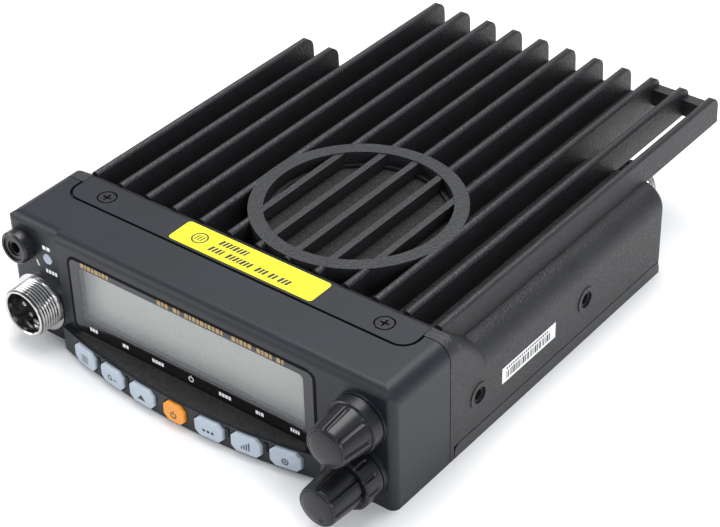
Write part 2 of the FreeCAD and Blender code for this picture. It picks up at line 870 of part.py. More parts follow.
def build_fasteners():
    build_screws("bottom_cover_screws", cover_screw_spots(), "0", "cover_head_depth", "0",
                 "cover_thickness + cover_screw_length - screw_end_gap", "0", "cover_head_depth / 2")
    top = "main_board_level + board_thickness + board_screw_length - screw_end_gap"
    build_screws("board_screws", board_screw_spots(), "main_board_level - small_head_height",
                 "main_board_level",
                 "main_board_level - small_head_height", top, "main_board_level - small_head_height",
                 "main_board_level - small_head_height / 2")
    build_screws("head_clamp_screws", clamp_screw_spots(), "body_height - small_head_height", "body_height",
                 f"{HEAD_ROOF} - clamp_screw_length + screw_end_gap", "body_height",
                 "body_height - cross_depth", "body_height")
    flange = f"{CAVITY_TOP} - module_base"
    build_screws("module_screws", module_screw_spots(), f"{flange} - small_head_height", flange,
                 f"{flange} - small_head_height", f"{CAVITY_TOP} + module_screw_bite - module_screw_gap",
                 f"{flange} - small_head_height", f"{flange} - small_head_height / 2")


def build_clamp_plate():
    """The plate that bridges the seam on top and clamps the control head to the chassis."""
    body = new_body("head_clamp_plate")
    corners = [
        ("-plate_half_width", "plate_front + plate_front_corner", "plate_front_corner"),
        ("-plate_half_width + plate_front_corner", "plate_front"),
        ("plate_half_width - plate_front_corner", "plate_front", "plate_front_corner"),
        ("plate_half_width", "plate_front + plate_front_corner"),
        ("plate_half_width", "plate_rear"),
        ("-plate_half_width", "plate_rear"),
    ]
    pad(body, "top", "body_height - plate_thickness", "body_height", polygon, corners)
    spots = clamp_screw_spots()
    pocket(body, "top", "body_height - plate_thickness", "body_height", discs, spots,
           "small_screw_radius + screw_gap")
    pocket(body, "top", "body_height - small_head_height", "body_height", discs, spots,
           "small_head_radius + clamp_bore_gap")


def bank_edge(across, proud="0"):
    """How far forward the curved front of the key bank stands at a place across the head."""
    reach = f"(bank_radius + {proud})"
    return f"(-bank_reach - {proud} + {reach} - sqrt({reach}^2 - ({across})^2))"


def bank_outline(sketch):
    corners = [
        ("bank_half_width", "-head_depth + 1"),
        ("-bank_half_width", "-head_depth + 1"),
        ("-bank_half_width", bank_edge("bank_half_width"), "bank_radius"),
        ("bank_half_width", bank_edge("bank_half_width")),
    ]
    polygon(sketch, corners)


def head_outline(sketch):
    """The control head seen from above, its left end set back past a crease."""
    corners = [
        (f"-{HALF}", "-seam_gap"),
        (f"-{HALF}", "-left_face"),
        ("-left_edge - crease_width", "-left_face"),
        ("-left_edge", "-head_depth"),
        (HALF, "-head_depth"),
        (HALF, "-seam_gap"),
    ]
    polygon(sketch, corners)


def key_outline(sketch, across, width, low, high, corner):
    """An upright key with its four corners cut off, seen from the front."""
    left = f"{across} - {width} / 2"
    right = f"{across} + {width} / 2"
    corners = [
        (f"{left} + {corner}", low),
        (f"{right} - {corner}", low),
        (right, f"{low} + {corner}"),
        (right, f"{high} - {corner}"),
        (f"{right} - {corner}", high),
        (f"{left} + {corner}", high),
        (left, f"{high} - {corner}"),
        (left, f"{low} + {corner}"),
    ]
    polygon(sketch, corners)


def key_holes(sketch):
    for label, slot in KEY_SLOTS.items():
        width = "power_width" if label == "key_power" else "key_width"
        key_outline(sketch, f"{slot} * key_pitch", f"({width} + 2 * key_gap)", "key_low - key_gap",
                    "key_high + key_gap", "(key_corner + key_gap / 2)")


def roof_rounding(sketch, face):
    """What rounds the upper front edge of the head, seen from the side."""
    corners = [
        (f"{face} - 1", "body_height + 1"),
        (f"{face} - 1", "body_height - head_edge_radius"),
        (face, "body_height - head_edge_radius", "-head_edge_radius"),
        (f"{face} + head_edge_radius", "body_height"),
        (f"{face} + head_edge_radius", "body_height + 1"),
    ]
    polygon(sketch, corners)


def corner_roundings(sketch):
    """What rounds the two upright front corners of the head, seen from above."""
    left = f"-{HALF}"
    left_corner = [
        (f"{left} - 1", "-left_face - 1"),
        (f"{left} + head_corner_radius", "-left_face - 1"),
        (f"{left} + head_corner_radius", "-left_face", "-head_corner_radius"),
        (left, "-left_face + head_corner_radius"),
        (f"{left} - 1", "-left_face + head_corner_radius"),
    ]
    right_corner = [
        (f"{HALF} + 1", "-head_depth - 1"),
        (f"{HALF} + 1", "-head_depth + head_corner_radius"),
        (HALF, "-head_depth + head_corner_radius", "-head_corner_radius"),
        (f"{HALF} - head_corner_radius", "-head_depth"),
        (f"{HALF} - head_corner_radius", "-head_depth - 1"),
    ]
    polygon(sketch, left_corner)
    polygon(sketch, right_corner)


def bezel_shell(body):
    """The moulded outer skin of the control head with its key bank and knob collars."""
    pad(body, "top", "0", "body_height", head_outline)
    top = sheet.body_height

    def roof_side(edge):
        return runs_along(edge, "y") and abs(middle(edge).z - top) < 0.01 and abs(middle(edge).x) > 60

    finish_edges(body, "Fillet", "top_corner_radius", roof_side)
    crease = "-left_edge - crease_width / 2"
    pocket(body, "side", crease, f"{HALF} + 1", roof_rounding, "-head_depth")
    pocket(body, "side", f"-{HALF} - 1", crease, roof_rounding, "-left_face")
    pocket(body, "top", "-1", "body_height + 1", corner_roundings)
    pad(body, "top", "bank_low", "bank_high", bank_outline)
    pad(body, "front", "-tuning_collar", "-head_depth + 1", disc, "control_x", "tuning_height",
        "collar_radius")
    pad(body, "front", "-volume_collar", "-head_depth + 1", disc, "control_x", "volume_height",
        "collar_radius")


def bezel_openings(body):
    """The hollow behind the face, and every opening through the face and roof."""
    inner = f"{HALF} - head_wall"
    back = "-head_depth + head_front_wall"
    step = "left_edge - head_front_wall"
    hollow = [
        (f"-({inner})", "0"),
        (f"-({inner})", "-left_face + head_front_wall"),
        (f"-({step})", "-left_face + head_front_wall"),
        (f"-({step})", back),
        (inner, back),
        (inner, "0"),
    ]
    pocket(body, "top", "head_wall", HEAD_ROOF, polygon, hollow)
    seat = ("-window_half_width - window_groove", "window_half_width + window_groove",
            "window_low - window_groove",
            "window_high + window_groove", "window_corner")
    pocket(body, "front", "-head_depth - 1", "-head_depth + window_thickness", rounded, *seat)
    view = ("-view_half_width", "view_half_width", "view_low", "view_high")
    pocket(body, "front", "-head_depth - 1", f"{back} + 1", rectangle, *view)
    pocket(body, "front", "-bank_reach - 1", f"{back} + 1", key_holes)
    rounds = [
        ("led_x", "led_height", "led_radius + running_gap"),
        ("jack_x", "jack_height", "jack_neck_radius + fit_gap"),
        ("mic_x", "mic_height", "mic_thread_radius + fit_gap"),
    ]
    for across, up, radius in rounds:
        pocket(body, "front", "-head_depth - 1", "-left_face + head_front_wall + 1", disc, across, up,
               radius)
    for up in ("tuning_height", "volume_height"):
        pocket(body, "front", "-bank_reach", f"{back} + 1", disc, "control_x", up, "shaft_hole_radius")
    plate_seat = [
        ("-plate_half_width - plate_groove", "plate_front + plate_front_corner",
         "plate_front_corner + plate_groove"),
        ("-plate_half_width + plate_front_corner", "plate_front - plate_groove"),
        ("plate_half_width - plate_front_corner", "plate_front - plate_groove",
         "plate_front_corner + plate_groove"),
        ("plate_half_width + plate_groove", "plate_front + plate_front_corner"),
        ("plate_half_width + plate_groove", "1"),
        ("-plate_half_width - plate_groove", "1"),
    ]
    pocket(body, "top", "body_height - plate_thickness", "body_height + 1", polygon, plate_seat)
    pocket(body, "top", f"{HEAD_ROOF} - 1", "body_height", discs, clamp_screw_spots(),
           "small_screw_radius + screw_gap")


def build_bezel():
    body = new_body("front_bezel")
    bezel_shell(body)
    bezel_openings(body)


def build_display():
    """The clear window, the display glass behind it and the moulded holder that carries the glass."""
    window = new_body("display_window")
    outline = ("-window_half_width", "window_half_width", "window_low", "window_high", "window_corner")
    pad(window, "front", "-head_depth - window_proud", "-head_depth + window_thickness", rounded, *outline)
    glass_back = "-glass_front + glass_thickness"
    block("lcd_panel", "-glass_half_width", "glass_half_width", "-glass_front", glass_back, "glass_low",
          "glass_high")
    holder = new_body("lcd_holder")
    pad(holder, "front", "-holder_front", "-front_board_face", rectangle, "-holder_half_width",
        "holder_half_width",
        "holder_low", "holder_high")
    seat = ("-glass_half_width - fit_gap", "glass_half_width + fit_gap", "glass_low - fit_gap",
            "glass_high + fit_gap")
    pocket(holder, "front", "-holder_front - 1", glass_back, rectangle, *seat)


def build_key(label, slot):
    """One key: a cap that follows the curved bank, a collar that keeps it in and a stem to the rubber mat."""
    width = "power_width" if label == "key_power" else "key_width"
    centre = f"{slot} * key_pitch"
    body = new_body(label, centre)
    back = "-head_depth + head_front_wall + fit_gap"
    left = bank_edge(f"{centre} - {width} / 2", "key_proud")
    right = bank_edge(f"{centre} + {width} / 2", "key_proud")
    corners = [
        (f"{width} / 2", back),
        (f"-{width} / 2", back),
        (f"-{width} / 2", left, "bank_radius + key_proud"),
        (f"{width} / 2", right),
    ]
    pad(body, "top", "key_low", "key_high", polygon, corners)
    front = -sheet.head_depth

    def long_corner(edge):
        return runs_along(edge, "y")

    def face_rim(edge):
        return middle(edge).y < front - 1 and not runs_along(edge, "y")

    finish_edges(body, "Chamfer", "key_corner", long_corner)
    finish_edges(body, "Fillet", "key_edge", face_rim)
    collar = (f"-{width} / 2 - key_collar", f"{width} / 2 + key_collar", "collar_low", "collar_high")
    pad(body, "front", back, f"{back} + collar_thickness", rectangle, *collar)
    middle_height = "(collar_low + collar_high) / 2"
    stem = ("-key_stem / 2", "key_stem / 2", f"{middle_height} - key_stem / 2",
            f"{middle_height} + key_stem / 2")
    pad(body, "front", back, "-key_back", rectangle, *stem)


def build_key_bank():
    for label, slot in KEY_SLOTS.items():
        build_key(label, slot)
    mat = new_body("keypad_mat")
    face = "-front_board_face"
    half = "key_pitch * 3 + key_width / 2 + key_collar"
    low = "front_board_low + fit_gap"
    pad(mat, "front", f"{face} - mat_thickness", face, rectangle, f"-({half})", half, low,
        "holder_low - fit_gap")
    spots = [(f"{slot} * key_pitch", "(collar_low + collar_high) / 2") for slot in KEY_SLOTS.values()]
    pad(mat, "front", "-key_back + key_travel + running_gap", face, discs, spots,
        "dome_radius - mat_dome_trim")


def build_front_board():
    """The upright circuit board behind the keys and display, notched round the microphone socket."""
    body = new_body("front_board")
    corners = [
        ("-front_board_step", "front_board_low"),
        ("front_board_right", "front_board_low"),
        ("front_board_right", "front_board_high"),
        ("-front_board_left", "front_board_high"),
        ("-front_board_left", "front_board_notch"),
        ("-front_board_step", "front_board_notch"),
    ]
    pad(body, "front", "-front_board_face", "-front_board_face + board_thickness", polygon, corners)


def build_indicator():
    lens = new_body("tx_led_lens", "led_x", "0", "led_height")
    back = "-left_face + head_front_wall"
    corners = [
        ("0", "-left_face - led_proud"),
        ("led_radius - led_proud", "-left_face - led_proud"),
        ("led_radius", "-left_face"),
        ("led_radius", back),
        ("led_flange_radius", back),
        ("led_flange_radius", f"{back} + 1"),
        ("led_radius", f"{back} + 1"),
        ("led_radius", "-front_board_face - led_chip"),
        ("0", "-front_board_face - led_chip"),
    ]
    turn(lens, corners)
    chip = ("led_x - led_chip / 2", "led_x + led_chip / 2", "-front_board_face - led_chip + led_proud",
            "-front_board_face")
    block("tx_led", *chip, "led_height - led_chip / 2", "led_height + led_chip / 2")


def build_data_jack():
    """A panel jack in the left end of the head: a moulded body round a metal contact liner."""
    front = "-left_face - jack_proud"
    back = f"{front} + jack_depth"
    inside = "-left_face + head_front_wall"
    body = new_body("data_jack_body", "jack_x", "0", "jack_height")
    bore = "jack_liner_radius + running_gap"
    corners = [
        (bore, f"{front} + jack_step"),
        ("jack_step_radius", f"{front} + jack_step"),
        ("jack_step_radius", front),
        ("jack_radius - jack_edge", front),
        ("jack_radius", f"{front} + jack_edge"),
        ("jack_radius", "-left_face"),
        ("jack_neck_radius", "-left_face"),
        ("jack_neck_radius", inside),
        ("jack_rear_radius", inside),
        ("jack_rear_radius", back),
        (bore, back),
    ]
    turn(body, corners)
    liner = new_body("data_jack_liner", "jack_x", "0", "jack_height")
    corners = [
        ("plug_radius", f"{front} + 2 * jack_step"),
        ("jack_liner_radius", f"{front} + 2 * jack_step"),
        ("jack_liner_radius", back),
        ("0", back),
        ("0", f"{back} - jack_end_wall"),
        ("plug_radius", f"{back} - jack_end_wall"),
    ]
    turn(liner, corners)


def mic_pin_spots():
    """The microphone socket's pins: a ring of them with one more at the middle."""
    ring = []
    for i in range(MIC_PIN_COUNT):
        spot = FreeCAD.Rotation(Vector(0, 0, 1), 360.0 * i / MIC_PIN_COUNT + 90).multVec(Vector(1, 0, 0))
        ring.append((f"{spot.x:.4f} * mic_pin_circle", f"{spot.y:.4f} * mic_pin_circle"))
    return ring + [("0", "0")]


def build_mic_socket():
    """A round panel socket: threaded shell and nut, insulating disc and pins."""
    place_args = ("mic_x", "0", "mic_height")
    front = "-left_face - mic_proud"
    flange = "-left_face - mic_flange_thickness"
    shell = new_body("mic_socket_shell", *place_args)
    corners = [
        ("mic_bore_radius", front),
        ("mic_rim_radius", front),
        ("mic_thread_radius", f"{front} + mic_thread_radius - mic_rim_radius"),
        ("mic_thread_radius", flange),
        ("mic_flange_radius", flange),
        ("mic_flange_radius", "-left_face"),
        ("mic_thread_radius", "-left_face"),
        ("mic_thread_radius", "-mic_rear"),
        ("mic_bore_radius", "-mic_rear"),
    ]
    turn(shell, corners)
    nut = new_body("mic_socket_nut", *place_args)
    inside = "-left_face + head_front_wall"
    corners = [
        ("mic_thread_radius + running_gap", inside),
        ("mic_nut_radius", inside),
        ("mic_nut_radius", f"{inside} + mic_nut_thickness"),
        ("mic_thread_radius + running_gap", f"{inside} + mic_nut_thickness"),
    ]
    turn(nut, corners)
    insulator = new_body("mic_socket_insulator", *place_args)
    pad(insulator, "front", "-mic_floor", "-mic_rear", disc, "0", "0", "mic_bore_radius - running_gap")
    pocket(insulator, "front", "-mic_floor - 1", "-mic_rear + 1", discs, mic_pin_spots(),
           "mic_pin_radius + running_gap")
    pins = new_body("mic_socket_pins", *place_args)
    pad(pins, "front", f"{front} + mic_pin_recess", "-mic_pin_tail", discs, mic_pin_spots(),
        "mic_pin_radius")
    key = new_body("mic_socket_key", *place_args)
    low = "-mic_bore_radius + running_gap + mic_key_gap"
    pad(key, "front", f"{front} + mic_pin_recess", "-mic_floor", rectangle, "-mic_key_width / 2",
        "mic_key_width / 2", low, f"{low} + mic_key_height")


def build_control_body(label, height):
    """A rotary control on the front board, with the bushing that its shaft turns in."""
    body = new_body(label, "control_x", "0", height)
    square = ("-control_body / 2", "control_body / 2", "-control_body / 2", "control_body / 2")
    pad(body, "front", "-control_body_front", "-front_board_face", rectangle, *square)
    pad(body, "front", "-bushing_front", "-control_body_front + 1", disc, "0", "0", "bushing_radius")
    bore = "shaft_radius + running_gap"
    pocket(body, "front", "-bushing_front - 1", "-front_board_face - shaft_short", disc, "0", "0", bore)


def build_tuning_control():
    build_control_body("tuning_encoder", "tuning_height")
    back = "-tuning_collar - knob_gap"
    bore = "shaft_radius + running_gap"
    rod("tuning_shaft", "control_x", "tuning_height", "shaft_radius",
        "-tuning_reach + shaft_gap + shaft_end_gap",
        "-front_board_face - shaft_short - shaft_tail")
    knob = new_body("tuning_knob", "control_x", "0", "tuning_height")
    corners = [
        (bore, back),
        (bore, "-tuning_reach + shaft_gap"),
        ("0", "-tuning_reach + shaft_gap"),
        ("0", "-tuning_reach"),
        ("crown_radius", "-tuning_reach"),
        ("tip_radius", "-tuning_reach + crown_depth"),
        ("grip_radius", "-skirt_front"),
        ("skirt_radius", "-skirt_front"),
        ("skirt_radius", back),
    ]
    turn(knob, list(reversed(corners)))


def build_volume_controls():
    """The two concentric controls: a squelch ring with the volume knob turning inside it."""
    build_control_body("dual_potentiometer", "volume_height")
    back = "-volume_collar - knob_gap"
    end = "-front_board_face - shaft_short - shaft_tail"
    bore = "shaft_radius + running_gap"
    inner_bore = "inner_shaft_radius + running_gap"
    sleeve = new_body("squelch_shaft", "control_x", "0", "volume_height")
    corners = [
        (inner_bore, "-ring_front + 1"),
        ("shaft_radius", "-ring_front + 1"),
        ("shaft_radius", end),
        (inner_bore, end),
    ]
    turn(sleeve, corners)
    ring = new_body("squelch_ring", "control_x", "0", "volume_height")
    corners = [
        (bore, "-ring_front"),
        ("ring_radius - ring_edge", "-ring_front"),
        ("ring_radius", "-ring_front + ring_edge"),
        ("ring_radius", back),
        (bore, back),
    ]
    turn(ring, corners)
    rod("volume_shaft", "control_x", "volume_height", "inner_shaft_radius",
        "-knob_reach + shaft_gap + shaft_end_gap",
        f"{end} + shaft_tail / 2")
    knob = new_body("volume_knob", "control_x", "0", "volume_height")
    knob_back = "-ring_front - knob_gap"
    corners = [
        (inner_bore, knob_back),
        (inner_bore, "-knob_reach + shaft_gap"),
        ("0", "-knob_reach + shaft_gap"),
        ("0", "-knob_reach"),
        ("crown_radius", "-knob_reach"),
        ("tip_radius - 0.2", "-knob_reach + crown_depth"),
        ("volume_grip_radius", knob_back),
    ]
    turn(knob, list(reversed(corners)))


def build_speaker():
    """Cloth, gasket, basket, magnet and cone, stacked in the bore below the slats."""
    spot = ("speaker_x", "speaker_y", "0")
    rim = f"{SPEAKER_BORE} - speaker_gap"
    cloth_top = "body_height - slat_depth - ledge_depth"
    cloth_low = f"{cloth_top} - cloth_thickness"
    flange_top = f"{cloth_low} - gasket_height"
    flange_low = f"{flange_top} - basket_flange"
    cloth = new_body("speaker_cloth", *spot)
    pad(cloth, "top", cloth_low, cloth_top, disc, "0", "0", rim)
    gasket = new_body("speaker_gasket", *spot)
    pad(gasket, "top", flange_top, cloth_low, discs, [("0", "0")], rim, f"{rim} - gasket_width")
    mouth = "cone_radius + 0.6"
    foot = f"{flange_low} - basket_depth"
    basket = new_body("speaker_basket", *spot)
    corners = [
        ("0", foot),
        ("basket_foot_radius", foot),
        (f"{mouth} + basket_wall", flange_low),
        (rim, flange_low),
        (rim, flange_top),
        (mouth, flange_top),
        ("basket_foot_radius - basket_wall", f"{foot} + basket_wall"),
        ("0", f"{foot} + basket_wall"),
    ]
    turn(basket, corners, "front")
    magnet = new_body("speaker_magnet", *spot)
    pad(magnet, "top", f"{foot} - magnet_height", foot, disc, "0", "0", "magnet_radius")
    cone = new_body("speaker_cone", *spot)
    top = f"{flange_top} + cone_rest - 1"
    bottom = f"{top} - cone_height"
    corners = [
        ("0", bottom),
        ("cone_foot_radius", bottom),
        ("cone_radius", top),
        ("cone_radius - cone_wall", f"{top} + cone_wall"),
        ("cone_foot_radius - cone_wall", f"{bottom} + cone_wall + 0.4"),
        ("0", f"{bottom} + cone_wall + 1.4"),
    ]
    turn(cone, corners, "front")


def build_main_board():
    """The flat main board under its posts, with the tongue that reaches the head through the front wall."""
    body = new_body("main_board")
    tongue = "link_half_width + 1"
    corners = [
        ("-main_board_half", "main_board_front"),
        (f"-({tongue})", "main_board_front"),
        (f"-({tongue})", "link_front"),
        (tongue, "link_front"),
        (tongue, "main_board_front"),
        ("main_board_half", "main_board_front"),
        ("main_board_half", "main_board_rear"),
        ("-main_board_half", "main_board_rear"),
    ]
    pad(body, "top", "main_board_level", "main_board_level + board_thickness", polygon, corners)
    pocket(body, "top", "main_board_level", "main_board_level + board_thickness", discs, board_screw_spots(),
           "small_screw_radius + screw_gap")
    above = "main_board_level + board_thickness"
    rear = "-front_board_face + board_thickness"
    block("head_link_connector", "-link_half_width", "link_half_width", rear, "-1", above,
          f"{above} + link_height")
    can = new_body("shield_can")
    pad(can, "top", above, f"{above} + can_height", rectangle, "can_left", "can_right", "can_front",
        "can_rear")
    pocket(can, "top", above, f"{above} + can_height - can_sheet", rectangle, "can_left + can_sheet",
           "can_right - can_sheet", "can_front + can_sheet", "can_rear - can_sheet")
    capacitors = new_body("reservoir_capacitors")
    spots = [("capacitor_x", "capacitor_y"), ("capacitor_x", "capacitor_y - capacitor_pitch")]
    pad(capacitors, "top", above, f"{above} + capacitor_height", discs, spots, "capacitor_radius")


def build_power_module():
    """The output stage bolted up against the deck, its leads reaching down to the main board."""
    body = new_body("rf_power_module")
    flange = f"{CAVITY_TOP} - module_base"
    pad(body, "top", flange, CAVITY_TOP, rectangle, "-module_half", "module_half", "module_front",
        "module_rear")
    cap_half = "module_screw_x - small_head_radius - 1"
    pad(body, "top", f"{flange} - module_cap", flange, rectangle, f"-({cap_half})", cap_half, "module_front",
        "module_rear")
    pocket(body, "top", flange, CAVITY_TOP, discs, module_screw_spots(), "small_screw_radius + screw_gap")
    above = "main_board_level + board_thickness"
    leads = []
    for place_in_row in (-2, -1, 0, 1, 2):
        across = f"{place_in_row} * module_lead_pitch"
        leads.append((f"{across} - module_lead / 2", f"{across} + module_lead / 2", "module_front",
                      "module_front + module_lead_depth"))
    pad(body, "top", above, flange, rectangles, leads)


def build_antenna_socket():
    """A threaded coaxial socket through the rear wall: shell, nut, insulator and centre contact."""
    spot = ("antenna_x", "0", "rear_height")
    wall = "chassis_length"
    shell = new_body("antenna_socket_shell", *spot)
    corners = [
        ("antenna_bore_radius", "antenna_reach"),
        ("antenna_bore_radius", "antenna_tail + antenna_shell_back"),
        ("antenna_radius", "antenna_tail + antenna_shell_back"),
        ("antenna_radius", wall),
        ("antenna_flange_radius", wall),
        ("antenna_flange_radius", f"{wall} + antenna_flange"),
        ("antenna_radius", f"{wall} + antenna_flange"),
        ("antenna_radius", "antenna_reach - antenna_edge"),
        ("antenna_radius - antenna_edge", "antenna_reach"),
    ]
    turn(shell, corners)
    nut = new_body("antenna_socket_nut", *spot)
    inside = f"{wall} - cast_wall"
    corners = [
        ("antenna_radius + running_gap", f"{inside} - antenna_nut"),
        ("antenna_flange_radius", f"{inside} - antenna_nut"),
        ("antenna_flange_radius", inside),
        ("antenna_radius + running_gap", inside),
    ]
    turn(nut, corners)
    insulator = new_body("antenna_socket_insulator", *spot)
    corners = [
        ("contact_radius + running_gap", "antenna_tail + antenna_insulator_back"),
        ("antenna_bore_radius - running_gap", "antenna_tail + antenna_insulator_back"),
        ("antenna_bore_radius - running_gap", "antenna_floor"),
        ("contact_radius + running_gap", "antenna_floor"),
    ]
    turn(insulator, corners)
    contact = new_body("antenna_socket_contact", *spot)
    corners = [
        ("0", "antenna_tail - antenna_insulator_back"),
        ("contact_radius", "antenna_tail - antenna_insulator_back"),
        ("contact_radius", "antenna_reach - contact_recess"),
        ("contact_bore", "antenna_reach - contact_recess"),
        ("contact_bore", "antenna_floor - contact_socket"),
        ("0", "antenna_floor - contact_socket"),
    ]
    turn(contact, corners)


def build_rear_fittings():
    """The external speaker jack and the rubber gland for the supply lead."""
    wall = "chassis_length"
    jack = new_body("external_speaker_jack", "speaker_jack_x", "0", "rear_height")
    inner = f"{wall} - cast_wall"
    corners = [
        ("0", f"{inner} - speaker_jack_body"),
        ("speaker_jack_bezel", f"{inner} - speaker_jack_body"),
        ("speaker_jack_bezel", inner),
        ("jack_neck_radius", inner),
        ("jack_neck_radius", wall),
        ("speaker_jack_bezel", wall),
        ("speaker_jack_bezel", f"{wall} + speaker_jack_proud"),
        ("plug_radius", f"{wall} + speaker_jack_proud"),
        ("plug_radius", f"{inner} - speaker_jack_body + jack_end_wall"),
        ("0", f"{inner} - speaker_jack_body + jack_end_wall"),
    ]
    turn(jack, corners)
    gland = new_body("supply_lead_gland", "gland_x", "0", "rear_height")
    neck = "gland_neck_radius - running_gap"
    corners = [
        ("gland_bore_radius", f"{inner} - gland_lip"),
        ("gland_radius", f"{inner} - gland_lip"),
        ("gland_radius", inner),
        (neck, inner),
        (neck, wall),
        ("gland_radius", wall),
        ("gland_radius", f"{wall} + gland_proud"),
        ("gland_bore_radius", f"{wall} + gland_proud"),
    ]
    turn(gland, corners)


def build_labels():
    """Thin printed labels: one across the clamp plate, one on the right-hand side wall."""
    top = new_body("top_label")
    outline = ("top_label_left", "top_label_right", "top_label_front", "top_label_rear", "top_label_corner")
    pad(top, "top", "body_height", "body_height + label_rise", rounded, *outline)
    block("side_label", HALF, f"{HALF} + label_rise", "side_label_front", "side_label_rear",
          "side_label_low",
          "side_label_high")


def check_pieces():
    """Stop on any failed feature, any empty or broken shape, and any cut that removes nothing."""
    for item in doc.Objects:
        if "Invalid" in item.State or "Error" in item.State:
            raise RuntimeError(f"{item.Name} did not build: {item.State}")
        if item.TypeId == "PartDesign::Pocket":
            before = item.BaseFeature.Shape.Volume
            if not item.Shape.Volume < before - 1e-6:
                raise RuntimeError(f"{item.Name} removes nothing")
    for item in PARTS:
        if item.Shape.isNull() or not item.Shape.isValid():
            raise RuntimeError(f"{item.Label} has no valid shape")


build_chassis()
build_bottom_cover()
build_clamp_plate()
build_bezel()
build_display()
build_key_bank()
build_front_board()
build_indicator()
build_data_jack()
build_mic_socket()
build_tuning_control()
build_volume_controls()
build_speaker()
build_main_board()
build_power_module()
build_antenna_socket()
build_rear_fittings()
build_fasteners()
build_labels()
doc.recompute()
check_pieces()
os.makedirs("parts", exist_ok=True)
for part in PARTS:
    part.Shape.exportStep(f"parts/{part.Label}.step")
print(f"{len(PARTS)} pieces written")
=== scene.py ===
"""A compact mobile radio transceiver, finished piece by piece in the order that it is put together.

Lengths are in metres.  +X is the operator's right, +Y runs back from the control head and +Z is up.
"""

import bpy
import bmesh
from math import ceil, cos, radians, sin, tau
from mathutils import Euler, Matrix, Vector
from mathutils.bvhtree import BVHTree


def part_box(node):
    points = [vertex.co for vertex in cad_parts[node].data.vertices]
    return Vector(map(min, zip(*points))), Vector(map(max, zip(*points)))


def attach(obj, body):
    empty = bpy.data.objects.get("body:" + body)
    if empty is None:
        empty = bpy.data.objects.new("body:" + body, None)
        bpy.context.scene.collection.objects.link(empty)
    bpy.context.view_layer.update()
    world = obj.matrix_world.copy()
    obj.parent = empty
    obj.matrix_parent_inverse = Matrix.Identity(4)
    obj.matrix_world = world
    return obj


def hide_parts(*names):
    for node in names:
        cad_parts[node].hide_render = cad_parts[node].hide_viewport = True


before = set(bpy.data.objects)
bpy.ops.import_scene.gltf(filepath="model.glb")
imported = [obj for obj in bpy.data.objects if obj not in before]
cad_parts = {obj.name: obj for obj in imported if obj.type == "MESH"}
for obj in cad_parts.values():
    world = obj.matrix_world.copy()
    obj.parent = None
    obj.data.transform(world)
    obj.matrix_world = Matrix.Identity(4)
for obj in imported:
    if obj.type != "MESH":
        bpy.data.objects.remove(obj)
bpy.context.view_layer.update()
mm = 0.001


# ---------------------------------------------------------------- camera, floor and lights
# A long lens looks down on the control head from the operator's right.
# The radio stands on a seamless pale sweep, under a wide overhead softbox with a fill on each side.

camera_data = bpy.data.cameras.new("camera")
camera_data.sensor_width = 36.0
camera_data.lens = 100.95
camera_data.shift_x = -0.00894
camera_data.shift_y = -0.00162
camera_data.clip_start = 0.01
camera = bpy.data.objects.new("camera", camera_data)
camera.location = (0.31209, -0.38969, 0.36693)
camera.rotation_euler = Euler((radians(54.135), radians(1.186), radians(37.722)), "XYZ")
bpy.context.scene.collection.objects.link(camera)
bpy.context.scene.camera = camera
bpy.context.scene.view_settings.view_transform = "Standard"


def add_node(tree, kind, inputs=(), **settings):
    """A node with its settings, whose inputs are fixed values or other nodes' outputs."""
    made = tree.nodes.new(kind)
    for name, value in settings.items():
        setattr(made, name, value)
    for socket, value in dict(inputs).items():
        if isinstance(value, bpy.types.NodeSocket):
            tree.links.new(value, made.inputs[socket])
        else:
            made.inputs[socket].default_value = value
    return made


def graded(tree, factor, shades):
    """Colours spread evenly along a factor that runs from 0 to 1."""
    ramp = add_node(tree, "ShaderNodeValToRGB", {"Fac": factor})
    stops = ramp.color_ramp.elements
    while len(stops) < len(shades):
        stops.new(0.5)
    for index, shade in enumerate(shades):
        stops[index].position = index / (len(shades) - 1)
        stops[index].color = (*shade, 1.0)
    return ramp.outputs["Color"]


def surface_finish(name, shades, patch=0.012, grain=0.0004, depth=0.00003, rough=(0.4, 0.5),
                   metallic=0.0, stretch=(1.0, 1.0, 1.0), **shader_values):
    """A material whose shade and gloss drift over patches, with a fine grain raised by bump."""
    material = bpy.data.materials.new(name)
    material.use_nodes = True
    tree = material.node_tree
    tree.nodes.clear()
    place = add_node(tree, "ShaderNodeTexCoord").outputs["Object"]
    drawn = add_node(tree, "ShaderNodeMapping", {"Vector": place, "Scale": stretch}).outputs["Vector"]
    drift = add_node(tree, "ShaderNodeTexNoise", {"Vector": drawn, "Scale": 1 / patch, "Detail": 4.0})
    speckle = add_node(tree, "ShaderNodeTexNoise", {"Vector": drawn, "Scale": 1 / grain, "Detail": 2.0})
    spread = add_node(tree, "ShaderNodeMapRange", {
        "Value": drift.outputs["Fac"], "From Min": 0.3, "From Max": 0.7})
    gloss = add_node(tree, "ShaderNodeMapRange", {
        "Value": speckle.outputs["Fac"], "From Min": 0.3, "From Max": 0.7,
        "To Min": rough[0], "To Max": rough[1]})
    raised = add_node(tree, "ShaderNodeBump", {
        "Height": speckle.outputs["Fac"], "Strength": 1.0, "Distance": depth})
    shader = add_node(tree, "ShaderNodeBsdfPrincipled", {
        "Base Color": graded(tree, spread.outputs["Result"], shades), "Metallic": metallic,
        "Roughness": gloss.outputs["Result"], "Normal": raised.outputs["Normal"]})
    for socket, value in shader_values.items():
        shader.inputs[socket.replace("_", " ")].default_value = value
    add_node(tree, "ShaderNodeOutputMaterial", {"Surface": shader.outputs["BSDF"]})
    return material


def grey(level, tint=0.0):
    """A neutral shade, bluer as the tint grows."""
    return (level * (1 - tint), level * (1 - tint / 2), level * (1 + tint))


